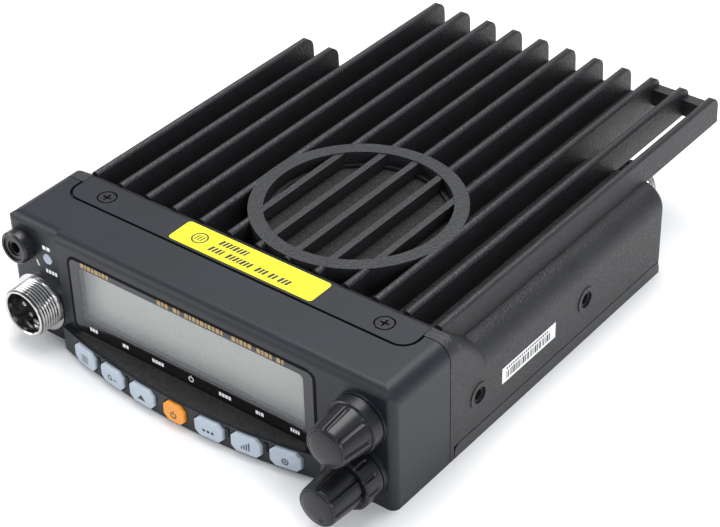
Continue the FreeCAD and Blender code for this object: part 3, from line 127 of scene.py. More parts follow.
floor_half = 3.0
floor_mesh = bpy.data.meshes.new("floor")
floor_mesh.from_pydata(
    [(-floor_half, -floor_half, 0), (floor_half, -floor_half, 0),
     (floor_half, floor_half, 0), (-floor_half, floor_half, 0)], [], [(0, 1, 2, 3)])
floor = bpy.data.objects.new("floor", floor_mesh)
bpy.context.scene.collection.objects.link(floor)
floor_mesh.materials.append(surface_finish(
    "floor_paper", [grey(0.86), grey(0.9)], patch=0.4, grain=0.004, depth=0.00002, rough=(0.7, 0.8)))


def softbox(name, place, aim, size, power):
    """A square area light at a place, turned to face a point."""
    light = bpy.data.lights.new(name, "AREA")
    light.energy = power
    light.size = size
    box = bpy.data.objects.new(name, light)
    box.location = place
    box.rotation_euler = (Vector(aim) - Vector(place)).to_track_quat("-Z", "Y").to_euler()
    bpy.context.scene.collection.objects.link(box)


softbox("overhead", (-0.1, 0.3, 1.1), (0, 0, 0), 0.8, 14.0)
softbox("left_fill", (-0.9, -0.7, 0.4), (0, -0.05, 0.02), 0.6, 5.0)
softbox("right_fill", (1.0, -0.4, 0.5), (0, -0.03, 0.02), 0.5, 5.0)
world = bpy.data.worlds.new("studio")
world.use_nodes = True
world.node_tree.nodes["Background"].inputs["Color"].default_value = (0.92, 0.95, 1.0, 1.0)
world.node_tree.nodes["Background"].inputs["Strength"].default_value = 0.62
bpy.context.scene.world = world


# ---------------------------------------------------------------- heat-sink chassis
# One die casting in aluminium: walls, deck, cooling fins and the slats over the speaker.
# It is powder coated black with a fine pebbled grain, a little greyer where hands rub it.

def dress(material, *names):
    """Give CAD pieces a finish in all their material slots."""
    for name in names:
        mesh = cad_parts[name].data
        for index in range(len(mesh.materials)):
            mesh.materials[index] = material


cast_black = surface_finish(
    "cast_black", [grey(0.008, 0.05), grey(0.013, 0.1)], patch=0.008, grain=0.0006, depth=0.00026,
    rough=(0.34, 0.56))
dress(cast_black, "heatsink_chassis")


# ---------------------------------------------------------------- bottom cover
# Pressed steel sheet, painted satin black, held by six black countersunk cross-head screws.

sheet_black = surface_finish(
    "sheet_black", [grey(0.01, 0.05), grey(0.016, 0.08)], patch=0.02, grain=0.0008, depth=0.00002,
    rough=(0.32, 0.42))
black_screw = surface_finish(
    "black_screw", [grey(0.03), grey(0.06)], patch=0.001, grain=0.0001, depth=0.00001, rough=(0.25, 0.4),
    metallic=0.8)
dress(sheet_black, "bottom_cover")
dress(black_screw, "bottom_cover_screws")


# ---------------------------------------------------------------- loudspeaker
# A pressed steel basket with a ferrite magnet and a paper cone, on a foam gasket in the chassis bore.
# Open-cell foam cloth covers it: coarse dark grains with deep gaps between them.

basket_steel = surface_finish(
    "basket_steel", [grey(0.45), grey(0.6)], patch=0.006, grain=0.0003, depth=0.00001, rough=(0.25, 0.4),
    metallic=1.0)
magnet_ferrite = surface_finish(
    "magnet_ferrite", [grey(0.03), grey(0.06)], patch=0.004, grain=0.0003, depth=0.00004, rough=(0.5, 0.7))
cone_paper = surface_finish(
    "cone_paper", [(0.05, 0.045, 0.04), (0.09, 0.08, 0.07)], patch=0.003, grain=0.0004, depth=0.00006,
    rough=(0.75, 0.95))
gasket_foam = surface_finish(
    "gasket_foam", [grey(0.01), grey(0.03)], patch=0.001, grain=0.0004, depth=0.0002, rough=(0.85, 1.0))
dress(basket_steel, "speaker_basket")
dress(magnet_ferrite, "speaker_magnet")
dress(cone_paper, "speaker_cone")
dress(gasket_foam, "speaker_gasket")


def cloth_finish():
    """Foam cloth: rounded grains from a cell pattern, with painted shade darkening the gaps between them.
    """
    material = bpy.data.materials.new("speaker_fabric")
    material.use_nodes = True
    tree = material.node_tree
    tree.nodes.clear()
    place = add_node(tree, "ShaderNodeTexCoord").outputs["Object"]
    grains = add_node(tree, "ShaderNodeTexVoronoi", {"Vector": place, "Scale": 1500.0})
    tufts = add_node(tree, "ShaderNodeTexNoise", {"Vector": place, "Scale": 420.0, "Detail": 3.0})
    # painted shade: lighter at each grain's middle, darker toward the gaps
    shade = graded(tree, grains.outputs["Distance"], [grey(0.05), grey(0.018), grey(0.006)])
    tone = graded(tree, tufts.outputs["Fac"], [grey(0.3), grey(1.0), grey(1.0)])
    tinted = add_node(tree, "ShaderNodeVectorMath", {0: shade, 1: tone}, operation="MULTIPLY")
    raised = add_node(tree, "ShaderNodeBump", {
        "Height": grains.outputs["Distance"], "Strength": 1.0, "Distance": 0.0003}, invert=True)
    shader = add_node(tree, "ShaderNodeBsdfPrincipled", {
        "Base Color": tinted.outputs["Vector"], "Roughness": 0.95, "Normal": raised.outputs["Normal"]})
    add_node(tree, "ShaderNodeOutputMaterial", {"Surface": shader.outputs["BSDF"]})
    return material


dress(cloth_finish(), "speaker_cloth")


# ---------------------------------------------------------------- main board and what it carries
# A glass-fibre board on posts, with a tinned shield can, reservoir capacitors and the output stage.

board_green = surface_finish(
    "board_green", [(0.01, 0.07, 0.03), (0.02, 0.12, 0.05)], patch=0.004, grain=0.0006, depth=0.00002,
    rough=(0.25, 0.4))
tinned_steel = surface_finish(
    "tinned_steel", [grey(0.55), grey(0.7)], patch=0.003, grain=0.0003, depth=0.00001, rough=(0.2, 0.35),
    metallic=1.0)
white_plastic = surface_finish(
    "white_plastic", [(0.62, 0.61, 0.56), (0.7, 0.69, 0.65)], patch=0.005, grain=0.0003, depth=0.00001,
    rough=(0.4, 0.5))
capacitor_sleeve = surface_finish(
    "capacitor_sleeve", [(0.012, 0.014, 0.05), (0.02, 0.022, 0.08)], patch=0.003, grain=0.0004,
    depth=0.00001, rough=(0.25, 0.35))
dark_insulator = surface_finish(
    "dark_insulator", [(0.012, 0.011, 0.007), (0.024, 0.021, 0.013)], patch=0.002, grain=0.0002,
    depth=0.00001, rough=(0.35, 0.5))
dress(board_green, "main_board")
dress(tinned_steel, "board_screws", "shield_can", "module_screws")
dress(white_plastic, "head_link_connector")
dress(capacitor_sleeve, "reservoir_capacitors")
dress(dark_insulator, "rf_power_module")


# ---------------------------------------------------------------- rear sockets
# A nickel-plated coaxial socket with a machined thread, white insulator and brass contact, held by a nut.
# Beside it are a moulded jack and the rubber gland of the supply lead.

def nickel_plate(name, level):
    """Plated metal with a faint drifting tone and a fine grain."""
    return surface_finish(name, [grey(level), grey(level * 1.2)], patch=0.002, grain=0.00015,
                          depth=0.000004, rough=(0.12, 0.26), metallic=1.0)


def turned(name, corners, middle_x, middle_z, sides=120, step=0.5 * mm):
    """A closed solid turned about a line along Y, from its section's corners as (radius, y)."""
    rows = []
    for (radius, y), (next_radius, next_y) in zip(corners, corners[1:] + corners[:1]):
        on_axis = radius == 0 and next_radius == 0
        length = Vector((next_radius - radius, next_y - y)).length
        parts = 1 if on_axis else ceil(length / step)
        for part in range(parts):
            share = part / parts
            rows.append((radius + (next_radius - radius) * share, y + (next_y - y) * share))
    shape = bmesh.new()
    loops = []
    for radius, y in rows:
        count = 1 if radius == 0 else sides
        loops.append([shape.verts.new((middle_x + radius * cos(tau * i / sides), y,
                                       middle_z + radius * sin(tau * i / sides))) for i in range(count)])
    for near, far in zip(loops, loops[1:] + loops[:1]):
        for i in range(sides):
            after = (i + 1) % sides
            patch = [near[i % len(near)], near[after % len(near)], far[after % len(far)], far[i % len(far)]]
            patch = list(dict.fromkeys(patch))
            if len(patch) > 2:
                shape.faces.new(patch)
    bmesh.ops.recalc_face_normals(shape, faces=shape.faces)
    return shown(name, shape)


def shown(name, shape, crease=35):
    """A scene object from a finished bmesh, shaded smooth except where it turns sharply."""
    mesh = bpy.data.meshes.new(name)
    shape.to_mesh(mesh)
    shape.free()
    mesh.shade_smooth()
    mesh.set_sharp_from_angle(angle=radians(crease))
    piece = bpy.data.objects.new(name, mesh)
    bpy.context.scene.collection.objects.link(piece)
    return piece


def math(tree, operation, *values):
    """The result of one sum on numbers or other nodes' outputs."""
    return add_node(tree, "ShaderNodeMath", dict(enumerate(values)), operation=operation).outputs[0]


def ramp_up(tree, value, start, end):
    """0 before the start, 1 past the end and a smooth rise between."""
    return add_node(tree, "ShaderNodeMapRange", {"Value": value, "From Min": start, "From Max": end},
                    interpolation_type="SMOOTHSTEP").outputs["Result"]


def round_cutter(name, own_sizes, cut_at):
    """A node tree that sinks a pattern into the outside of a turned piece.

    cut_at gives the depth of the pattern, from 0 to 1, at a number of turns round and a distance along.
    """
    tree = bpy.data.node_groups.new(name, "GeometryNodeTree")
    tree.interface.new_socket("Piece", in_out="INPUT", socket_type="NodeSocketGeometry")
    for size in ("Middle X", "Middle Z", "Core radius", "Depth", "Front", "Back", "Fade", *own_sizes):
        tree.interface.new_socket(size, in_out="INPUT", socket_type="NodeSocketFloat")
    tree.interface.new_socket("Finish", in_out="INPUT", socket_type="NodeSocketMaterial")
    tree.interface.new_socket("Piece", in_out="OUTPUT", socket_type="NodeSocketGeometry")
    given = add_node(tree, "NodeGroupInput").outputs
    spot = add_node(tree, "ShaderNodeSeparateXYZ", {
        0: add_node(tree, "GeometryNodeInputPosition").outputs["Position"]})
    along = spot.outputs["Y"]
    across = math(tree, "SUBTRACT", spot.outputs["X"], given["Middle X"])
    up = math(tree, "SUBTRACT", spot.outputs["Z"], given["Middle Z"])
    spoke = add_node(tree, "ShaderNodeCombineXYZ", {"X": across, "Z": up}).outputs["Vector"]
    radius = add_node(tree, "ShaderNodeVectorMath", {0: spoke}, operation="LENGTH").outputs["Value"]
    outward = add_node(tree, "ShaderNodeVectorMath", {0: spoke}, operation="NORMALIZE").outputs["Vector"]
    turns = math(tree, "DIVIDE", math(tree, "ARCTAN2", up, across), tau)
    outside = math(tree, "GREATER_THAN", radius, given["Core radius"])
    begun = ramp_up(tree, along, given["Front"], math(tree, "ADD", given["Front"], given["Fade"]))
    ended = ramp_up(tree, along, math(tree, "SUBTRACT", given["Back"], given["Fade"]), given["Back"])
    here = math(tree, "MULTIPLY", math(tree, "SUBTRACT", begun, ended), outside)
    cut = math(tree, "MULTIPLY", cut_at(tree, given, turns, along), here)
    sunk = add_node(tree, "ShaderNodeVectorMath", {
        0: outward, "Scale": math(tree, "MULTIPLY", math(tree, "MULTIPLY", cut, given["Depth"]), -1.0)},
        operation="SCALE").outputs["Vector"]
    marked = add_node(tree, "GeometryNodeStoreNamedAttribute", {
        "Geometry": given["Piece"], "Name": "groove", "Value": cut}, data_type="FLOAT", domain="POINT")
    moved = add_node(tree, "GeometryNodeSetPosition", {
        "Geometry": marked.outputs["Geometry"], "Offset": sunk})
    solid = add_node(tree, "GeometryNodeRealizeInstances", {"Geometry": moved.outputs["Geometry"]})
    finished = add_node(tree, "GeometryNodeSetMaterial", {
        "Geometry": solid.outputs["Geometry"], "Material": given["Finish"]})
    add_node(tree, "NodeGroupOutput", {0: finished.outputs["Geometry"]})
    return tree


def thread_depth(tree, given, turns, along):
    """A vee groove that winds round the piece at the pitch."""
    wound = math(tree, "ADD", math(tree, "DIVIDE", along, given["Pitch"]), turns)
    return math(tree, "SUBTRACT", 1.0, math(tree, "MULTIPLY", math(tree, "PINGPONG", wound, 0.5), 2.0))


def cut_round(piece, tree, sizes):
    """Run a cutter on a piece and keep the result as its plain mesh."""
    modifier = piece.modifiers.new(tree.name, "NODES")
    modifier.node_group = tree
    for socket in tree.interface.items_tree:
        if socket.in_out == "INPUT" and socket.name in sizes:
            modifier[socket.identifier] = sizes[socket.name]
    evaluated = piece.evaluated_get(bpy.context.evaluated_depsgraph_get())
    cut = bpy.data.meshes.new_from_object(evaluated)
    piece.modifiers.remove(modifier)
    piece.data = cut
    cut.set_sharp_from_angle(angle=radians(35))


def middle_of(node):
    """The axis of a round CAD piece that lies along Y, with its radius, front and back."""
    low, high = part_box(node)
    return (low.x + high.x) / 2, (low.z + high.z) / 2, (high.x - low.x) / 2, low.y, high.y


nickel = nickel_plate("nickel", 0.55)
brass_contact = surface_finish(
    "brass_contact", [(0.62, 0.44, 0.16), (0.75, 0.56, 0.25)], patch=0.001, grain=0.0001, depth=0.000004,
    rough=(0.15, 0.28), metallic=1.0)
rubber_black = surface_finish(
    "rubber_black", [grey(0.012), grey(0.022)], patch=0.004, grain=0.0005, depth=0.00004, rough=(0.6, 0.8))
moulded_black = surface_finish(
    "moulded_black", [grey(0.008, 0.05), grey(0.013, 0.08)], patch=0.006, grain=0.00025, depth=0.000015,
    rough=(0.28, 0.38))
dress(nickel, "antenna_socket_shell", "antenna_socket_nut")
dress(white_plastic, "antenna_socket_insulator")
dress(brass_contact, "antenna_socket_contact")
dress(moulded_black, "external_speaker_jack")
dress(rubber_black, "supply_lead_gland")



def nickel_with_painted_root_shade():
    """Nickel plate with painted shade at the root of a thread, darker where the cut is deeper."""
    material = nickel_plate("nickel_with_painted_root_shade", 0.55)
    tree = material.node_tree
    shader = next(node for node in tree.nodes if node.type == "BSDF_PRINCIPLED")
    plated = shader.inputs["Base Color"].links[0].from_socket
    root = add_node(tree, "ShaderNodeAttribute", attribute_name="groove").outputs["Fac"]
    # painted shade: the thread roots are darkened in step with the depth of the groove
    shade = graded(tree, root, [grey(1.0), grey(0.42), grey(0.03)])
    dimmed = add_node(tree, "ShaderNodeVectorMath", {0: plated, 1: shade}, operation="MULTIPLY")
    tree.links.new(dimmed.outputs["Vector"], shader.inputs["Base Color"])
    return material


thread_root_shade_finish = nickel_with_painted_root_shade()
screw_thread = round_cutter("screw_thread", ["Pitch"], thread_depth)
rear_x, rear_z, rear_flange, rear_tail, rear_mouth = middle_of("antenna_socket_shell")
rear_thread = 7.94 * mm
rear_bore = 6.2 * mm
rear_edge = 0.6 * mm
thread_clear = 0.5 * mm
inch = 25.4 * mm
rear_pitch = inch / 24
nut_to_flange_back = 5.0 * mm
rear_flange_thickness = 2.0 * mm
rear_flange_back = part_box("antenna_socket_nut")[1].y + nut_to_flange_back
rear_flange_front = rear_flange_back - rear_flange_thickness
antenna_socket = turned("antenna_socket", [
    (rear_bore, rear_mouth),
    (rear_bore, rear_tail),
    (rear_thread, rear_tail),
    (rear_thread, rear_flange_front),
    (rear_flange, rear_flange_front),
    (rear_flange, rear_flange_back),
    (rear_thread, rear_flange_back),
    (rear_thread, rear_mouth - rear_edge),
    (rear_thread - rear_edge, rear_mouth)], rear_x, rear_z, step=0.2 * mm)
cut_round(antenna_socket, screw_thread, {
    "Middle X": rear_x, "Middle Z": rear_z, "Core radius": rear_bore + thread_clear, "Depth": 0.55 * mm,
    "Front": rear_flange_back + 0.4 * mm, "Back": rear_mouth, "Fade": 0.6 * mm, "Pitch": rear_pitch,
    "Finish": thread_root_shade_finish})
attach(antenna_socket, "radio")
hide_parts("antenna_socket_shell")


# ---------------------------------------------------------------- control head shell
# Injection-moulded plastic with a fine spark texture, dark blue-grey.
# The sill between window and keys is a separate matt strip, and painted shadows, dark marks laid in the
# gaps, part the outer keys.

head_plastic = surface_finish(
    "head_plastic", [grey(0.01, 0.22), grey(0.014, 0.28)], patch=0.02, grain=0.0003, depth=0.00006,
    rough=(0.32, 0.46), Specular_IOR_Level=0.36)
dress(head_plastic, "front_bezel", "head_clamp_plate")


def surface_of(*nodes):
    """The CAD pieces' surfaces, for finding where a line meets them."""
    points = []
    faces = []
    for node in nodes:
        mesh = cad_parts[node].data
        first = len(points)
        points += [vertex.co.copy() for vertex in mesh.vertices]
        faces += [[first + i for i in face.vertices] for face in mesh.polygons]
    return BVHTree.FromPolygons(points, faces)


def laid_on(name, patches, start_of, towards, surface, finish, body, ink=0.03 * mm):
    """Thin flat shapes dropped straight onto a surface.

    Patches are outlines in the flat; start_of lifts one of their points to a place off the surface.
    """
    shape = bmesh.new()
    for patch in patches:
        landed = []
        for point in patch:
            start = start_of(*point)
            hit = surface.ray_cast(start, towards)[0]
            landed.append(shape.verts.new(hit - towards * ink))
        shape.faces.new(landed)
    bmesh.ops.remove_doubles(shape, verts=shape.verts, dist=0.001 * mm)
    bmesh.ops.recalc_face_normals(shape, faces=shape.faces)
    for face in shape.faces:
        if face.normal.dot(towards) > 0:
            face.normal_flip()
    bmesh.ops.solidify(shape, geom=shape.faces[:], thickness=2 * ink)
    bmesh.ops.recalc_face_normals(shape, faces=shape.faces)
    piece = shown(name, shape)
    piece.data.materials.append(finish)
    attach(piece, body)
    return piece


def bar(across, up, width, height, lean=0.0):
    """An upright block about its middle, its top pushed sideways by the lean."""
    left, right = across - width / 2, across + width / 2
    low, high = up - height / 2, up + height / 2
    return [(left, low), (right, low), (right + lean, high), (left + lean, high)]


def ring(across, up, outer, inner, begin=0.0, end=1.0, parts=20):
    """A flat ring, or the part of one between two shares of a turn, as short stretches."""
    patches = []
    for part in range(parts):
        first, last = (tau * (begin + (end - begin) * (part + i) / parts) for i in (0, 1))
        patches.append([
            (across + inner * cos(first), up + inner * sin(first)),
            (across + outer * cos(first), up + outer * sin(first)),
            (across + outer * cos(last), up + outer * sin(last)),
            (across + inner * cos(last), up + inner * sin(last))])
    return patches


def dot(across, up, radius, parts=14):
    """A filled round patch."""
    turns = [tau * i / parts for i in range(parts)]
    return [(across + radius * cos(turn), up + radius * sin(turn)) for turn in turns]


forward = Vector((0, 1, 0))
down = Vector((0, 0, -1))
head_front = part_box("front_bezel")[0].y
window_low, window_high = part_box("display_window")
shell = surface_of("front_bezel")
ahead = head_front - 20.0 * mm


def from_front(across, up):
    """A point well ahead of the control head."""
    return Vector((across, ahead, up))


def from_above(across, along):
    """A point just under the window, over the sill."""
    return Vector((across, along, window_low.z - 0.3 * mm))


matt_black = surface_finish(
    "matt_black", [grey(0.007), grey(0.02)], patch=0.0012, grain=0.0005, depth=0.00012, rough=(0.6, 0.85))
sill_half = window_high.x + 2.2 * mm
sill_back = window_low.y + 0.5 * mm
sill_lip = 0.9 * mm
sill_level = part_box("key_1")[1].z
stretches = 60


def sill_front(across):
    """Where the curved front of the key bank lies, just under its top edge."""
    return shell.ray_cast(from_front(across, sill_level + 0.35 * mm), forward)[0].y + sill_lip


sill = []
for stretch in range(stretches):
    left, right = (sill_half * (2 * (stretch + i) / stretches - 1) for i in (0, 1))
    sill.append([
        (left, sill_front(left)), (right, sill_front(right)), (right, sill_back), (left, sill_back)])
laid_on("sill_strip", sill, from_above, down, shell, matt_black, "radio")

key_boxes = {name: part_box(name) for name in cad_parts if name.startswith("key_")}
key_middles = sorted((low.x + high.x) / 2 for low, high in key_boxes.values())
key_pitch = key_middles[1] - key_middles[0]
gap_shadow_width = 0.8 * mm
gap_shadow_height = 3.4 * mm
hook_width = 0.7 * mm
hook_height = 0.8 * mm
gap_shadow_offset = 0.35 * mm
# painted shadow: dark marks laid on the bank where the gaps beside the outer keys fall in shade
gap_shadows = []
for middle in key_middles:
    if abs(middle) > key_pitch / 2:
        side = middle + key_pitch / 2 if middle < 0 else middle - key_pitch / 2
        if abs(side) > key_pitch:
            gap_shadows.append(bar(side + gap_shadow_offset, sill_level - gap_shadow_height / 2, gap_shadow_width, gap_shadow_height))
            gap_shadows.append(bar(side - gap_shadow_offset, sill_level - hook_height / 2, hook_width, hook_height))
# near-black for the painted gap shadows and the painted shade of the volume pointer dimple, and for the
# printed window rim
shadow_and_print_black = surface_finish(
    "shadow_and_print_black", [grey(0.002), grey(0.005)], patch=0.002, grain=0.0004, depth=0.00004, rough=(0.6, 0.8),
    Specular_IOR_Level=0.1)
laid_on("bank_gap_shadows", gap_shadows, from_front, forward, shell, shadow_and_print_black, "radio")


# ---------------------------------------------------------------- front board, mat and display
# The upright board carries a silicone key mat and a moulded holder with the liquid-crystal panel.
# The resting panel is a plain grey-green, with painted shade darkening it toward its lower edge.

rubber_grey = surface_finish(
    "rubber_grey", [grey(0.2), grey(0.28)], patch=0.004, grain=0.0004, depth=0.00002, rough=(0.55, 0.7))
holder_white = surface_finish(
    "holder_white", [(0.4, 0.4, 0.43), (0.46, 0.46, 0.49)], patch=0.02, grain=0.0003, depth=0.000002,
    rough=(0.4, 0.5))
dress(board_green, "front_board")
dress(rubber_grey, "keypad_mat")
dress(holder_white, "lcd_holder")


def panel_finish(low, high):
    """Liquid-crystal glass: painted shade that darkens it toward its lower edge, with the faint grid of its
    resting cells.
    """
    material = bpy.data.materials.new("display_glass")
    material.use_nodes = True
    tree = material.node_tree
    tree.nodes.clear()
    place = add_node(tree, "ShaderNodeTexCoord").outputs["Object"]
    spot = add_node(tree, "ShaderNodeSeparateXYZ", {0: place})
    rise = add_node(tree, "ShaderNodeMapRange", {
        "Value": spot.outputs["Z"], "From Min": low.z, "From Max": high.z}).outputs["Result"]
    # painted shade: darker toward the panel's lower edge, lighter toward its top
    shade = graded(tree, rise, [
        (0.2, 0.21, 0.19), (0.34, 0.36, 0.32), (0.37, 0.39, 0.35), (0.38, 0.4, 0.37)])
    stripes = add_node(tree, "ShaderNodeTexWave", {"Vector": place, "Scale": 260.0}, bands_direction="X")
    cloud = add_node(tree, "ShaderNodeTexNoise", {"Vector": place, "Scale": 60.0, "Detail": 3.0})
    faint = graded(tree, stripes.outputs["Fac"], [grey(0.97), grey(1.0)])
    drift = graded(tree, cloud.outputs["Fac"], [grey(0.94), grey(1.0)])
    lined = add_node(tree, "ShaderNodeVectorMath", {0: shade, 1: faint}, operation="MULTIPLY")
    tinted = add_node(tree, "ShaderNodeVectorMath", {
        0: lined.outputs["Vector"], 1: drift}, operation="MULTIPLY").outputs["Vector"]
    gloss = add_node(tree, "ShaderNodeMapRange", {
        "Value": cloud.outputs["Fac"], "To Min": 0.3, "To Max": 0.4}).outputs["Result"]
    shader = add_node(tree, "ShaderNodeBsdfPrincipled", {"Base Color": tinted, "Roughness": gloss})
    add_node(tree, "ShaderNodeOutputMaterial", {"Surface": shader.outputs["BSDF"]})
    return material


dress(panel_finish(*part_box("lcd_panel")), "lcd_panel")


# ---------------------------------------------------------------- display window
# Clear acrylic, screen printed round the viewing area: blue-grey frame, black rim and black foot.
# Gold marks run along its head and white marks along its foot, one over each key.

def clear_acrylic():
    """Clear plastic that lets the panel through and keeps a soft gloss with faint rub marks."""
    material = bpy.data.materials.new("window_clear")
    material.use_nodes = True
    material.surface_render_method = "BLENDED"
    tree = material.node_tree
    tree.nodes.clear()
    place = add_node(tree, "ShaderNodeTexCoord").outputs["Object"]
    rubs = add_node(tree, "ShaderNodeTexNoise", {"Vector": place, "Scale": 90.0, "Detail": 5.0})
    gloss = add_node(tree, "ShaderNodeMapRange", {
        "Value": rubs.outputs["Fac"], "To Min": 0.04, "To Max": 0.08}).outputs["Result"]
    tint = graded(tree, rubs.outputs["Fac"], [grey(0.6), grey(0.7, 0.04)])
    shader = add_node(tree, "ShaderNodeBsdfPrincipled", {"Base Color": tint, "Roughness": gloss})
    shader.inputs["Alpha"].default_value = 0.16
    shader.inputs["IOR"].default_value = 1.49
    add_node(tree, "ShaderNodeOutputMaterial", {"Surface": shader.outputs["BSDF"]})
    return material


dress(clear_acrylic(), "display_window")


def rounded_frame(left, right, low, high, radius, inset, parts=6):
    """Points round a box with rounded corners, drawn in by an inset."""
    points = []
    turn = radius - inset if radius > inset else 0.1 * mm
    corners = [(right - radius, high - radius), (left + radius, high - radius),
               (left + radius, low + radius), (right - radius, low + radius)]
    for quarter, (across, up) in enumerate(corners):
        for part in range(parts + 1):
            angle = tau / 4 * (quarter + part / parts)
            points.append((across + turn * cos(angle), up + turn * sin(angle)))
    return points


def band_between(outer, inner):
    """The patches between two closed rows of points."""
    count = len(outer)
    return [[inner[i], outer[i], outer[(i + 1) % count], inner[(i + 1) % count]] for i in range(count)]


window = surface_of("display_window")
outside = (window_low.x, window_high.x, window_low.z, window_high.z, 2.5 * mm)
rim_edge = rounded_frame(*outside, -0.45 * mm)
rim_inner = rounded_frame(*outside, 0.45 * mm)
view_half = 41.2 * mm
view_low = 13.6 * mm
view_high = 32.6 * mm
view_edge = rounded_frame(-view_half, view_half, view_low, view_high, 1.6 * mm, 0.0)
print_grey = surface_finish(
    "print_grey", [grey(0.017, 0.12), grey(0.022, 0.14)], patch=0.015, grain=0.0005, depth=0.000004,
    rough=(0.1, 0.18))
print_black = surface_finish(
    "print_black", [grey(0.004), grey(0.007)], patch=0.012, grain=0.0005, depth=0.000003,
    rough=(0.08, 0.16))
window_plane = BVHTree.FromPolygons(
    [(across, window_low.y, up) for across, up in ((-1, -1), (1, -1), (1, 1), (-1, 1))], [(0, 1, 2, 3)])
laid_on("window_rim", band_between(rim_edge, rim_inner), from_front, forward, window_plane, shadow_and_print_black,
        "radio", ink=0.04 * mm)
laid_on("window_frame", band_between(rim_inner, view_edge), from_front, forward, window, print_grey,
        "radio")
foot_top = view_low - 0.3 * mm
foot = rounded_frame(rim_inner[7][0] + 0.1 * mm, rim_inner[0][0] - 0.1 * mm, window_low.z + 0.5 * mm,
                     foot_top, 1.2 * mm, 0.0)
laid_on("window_foot", [foot], from_front, forward, window, print_black, "radio",
        ink=0.05 * mm)


def word(across, up, height, widths, gap, lean=0.0):
    """A run of blocks from the left, standing where a word would be."""
    blocks = []
    for width in widths:
        blocks.append(bar(across + width / 2, up, width, height, lean))
        across += width + gap
    return blocks


gold_ink = surface_finish(
    "gold_ink", [(0.3, 0.2, 0.08), (0.4, 0.28, 0.13)], patch=0.001, grain=0.0002, depth=0.000004,
    rough=(0.25, 0.4), metallic=0.6)
white_ink = surface_finish(
    "white_ink", [grey(0.75), grey(0.85)], patch=0.001, grain=0.0002, depth=0.000002, rough=(0.4, 0.5))
gold_level = (view_high + window_high.z) / 2 + 0.1 * mm
gold_height = 1.5 * mm
gold_rhythm = [1.3 * mm, 0.7 * mm, 1.1 * mm, 0.9 * mm]
gold = word(window_low.x + 5.0 * mm, gold_level, gold_height, gold_rhythm * 2, 0.4 * mm)
for start, count in ((-10.5, 3), (-4.6, 2), (-0.4, 10), (16.6, 5), (25.4, 4), (32.3, 2)):
    widths = (gold_rhythm * 3)[:count]
    gold += word(start * mm, gold_level, gold_height, widths, 0.42 * mm)
laid_on("gold_marks", gold, from_front, forward, window, gold_ink, "radio", ink=0.06 * mm)

foot_level = (foot_top + window_low.z) / 2 + 0.1 * mm
white_rhythms = [[0.8 * mm] * 3, [1.2 * mm, 0.8 * mm], [0.9 * mm] * 4, [], [0.9 * mm] * 4,
                 [1.0 * mm, 0.4 * mm, 0.9 * mm], [0.6 * mm] * 4]
white_marks = ring(0.0, foot_level, 0.95 * mm, 0.65 * mm, 0.32, 1.18) + [
    bar(0.0, foot_level + 0.8 * mm, 0.3 * mm, 0.9 * mm)]
for middle, rhythm in zip(key_middles, white_rhythms):
    gap = 0.25 * mm
    run = sum(rhythm) + gap * (len(rhythm) - 1)
    white_marks += word(middle - run / 2, foot_level, 1.2 * mm, rhythm, gap)
laid_on("foot_marks", white_marks, from_front, forward, window, white_ink, "radio",
        ink=0.08 * mm)


# ---------------------------------------------------------------- keys
# Seven moulded keycaps in the curved bank: six pale silver-blue and an orange power key at the middle.
# Each carries one small dark sign, printed on its face.

key_silver = surface_finish(
    "key_silver", [(0.37, 0.43, 0.5), (0.42, 0.485, 0.55)], patch=0.004, grain=0.0002, depth=0.000006,
    rough=(0.26, 0.36))
key_orange = surface_finish(
    "key_orange", [(0.75, 0.26, 0.02), (0.83, 0.32, 0.03)], patch=0.004, grain=0.0002, depth=0.000006,
    rough=(0.22, 0.32))
sign_ink = surface_finish(
    "sign_ink", [grey(0.012), grey(0.03)], patch=0.001, grain=0.0002, depth=0.000002, rough=(0.4, 0.5))


def key_sign(index):
    """A plain sign for each key in turn, about the middle of its face."""
    line = 0.42 * mm
    return [
        [bar(0, up * mm, 3.0 * mm, line) for up in (-0.9, 0.0, 0.9)],
        ring(-0.9 * mm, 0, 0.95 * mm, 0.55 * mm) + [bar(1.3 * mm, 0, 1.4 * mm, line)],
        [[(-1.6 * mm, -0.9 * mm), (1.6 * mm, -0.9 * mm), (0.0, 1.0 * mm)]],
        ring(0, 0, 1.15 * mm, 0.75 * mm, 0.34, 1.16) + [bar(0, 0.85 * mm, line, 1.3 * mm)],
        [dot(across * mm, 0, 0.5 * mm) for across in (-1.5, 0.0, 1.5)],
        [bar(across * mm, (0.3 * step - 0.4) * mm, line, (1.0 + 0.6 * step) * mm)
         for step, across in enumerate((-1.2, -0.4, 0.4, 1.2))],
        ring(0, 0, 1.1 * mm, 0.7 * mm) + [dot(0, 0, 0.35 * mm)],
    ][index]


for name, (low, high) in key_boxes.items():
    middle_x = (low.x + high.x) / 2
    middle_z = (low.z + high.z) / 2 - 0.7 * mm
    index = min(range(len(key_middles)), key=lambda i: abs(key_middles[i] - middle_x))
    dress(key_orange if name == "key_power" else key_silver, name)

    def on_key(across, up):
        return from_front(middle_x + across, middle_z + up)

    laid_on(f"{name}_sign", key_sign(index), on_key, forward, surface_of(name), sign_ink, name,
            ink=0.02 * mm)


# ---------------------------------------------------------------- indicator and data jack
# A domed lamp lens with its chip behind it, and a moulded jack with its black liner.
# Short printed marks stand over and under the lamp.

led_clear = surface_finish(
    "led_clear", [(0.42, 0.46, 0.62), (0.62, 0.66, 0.8)], patch=0.0012, grain=0.0003, depth=0.00002,
    rough=(0.12, 0.25), Transmission_Weight=0.25)
chip_finish = surface_finish(
    "chip_finish", [(0.5, 0.4, 0.1), (0.7, 0.6, 0.3)], patch=0.001, grain=0.0002, depth=0.00001,
    rough=(0.3, 0.5))
dress(led_clear, "tx_led_lens")
dress(chip_finish, "tx_led")
dress(moulded_black, "data_jack_body")
dress(moulded_black, "data_jack_liner")

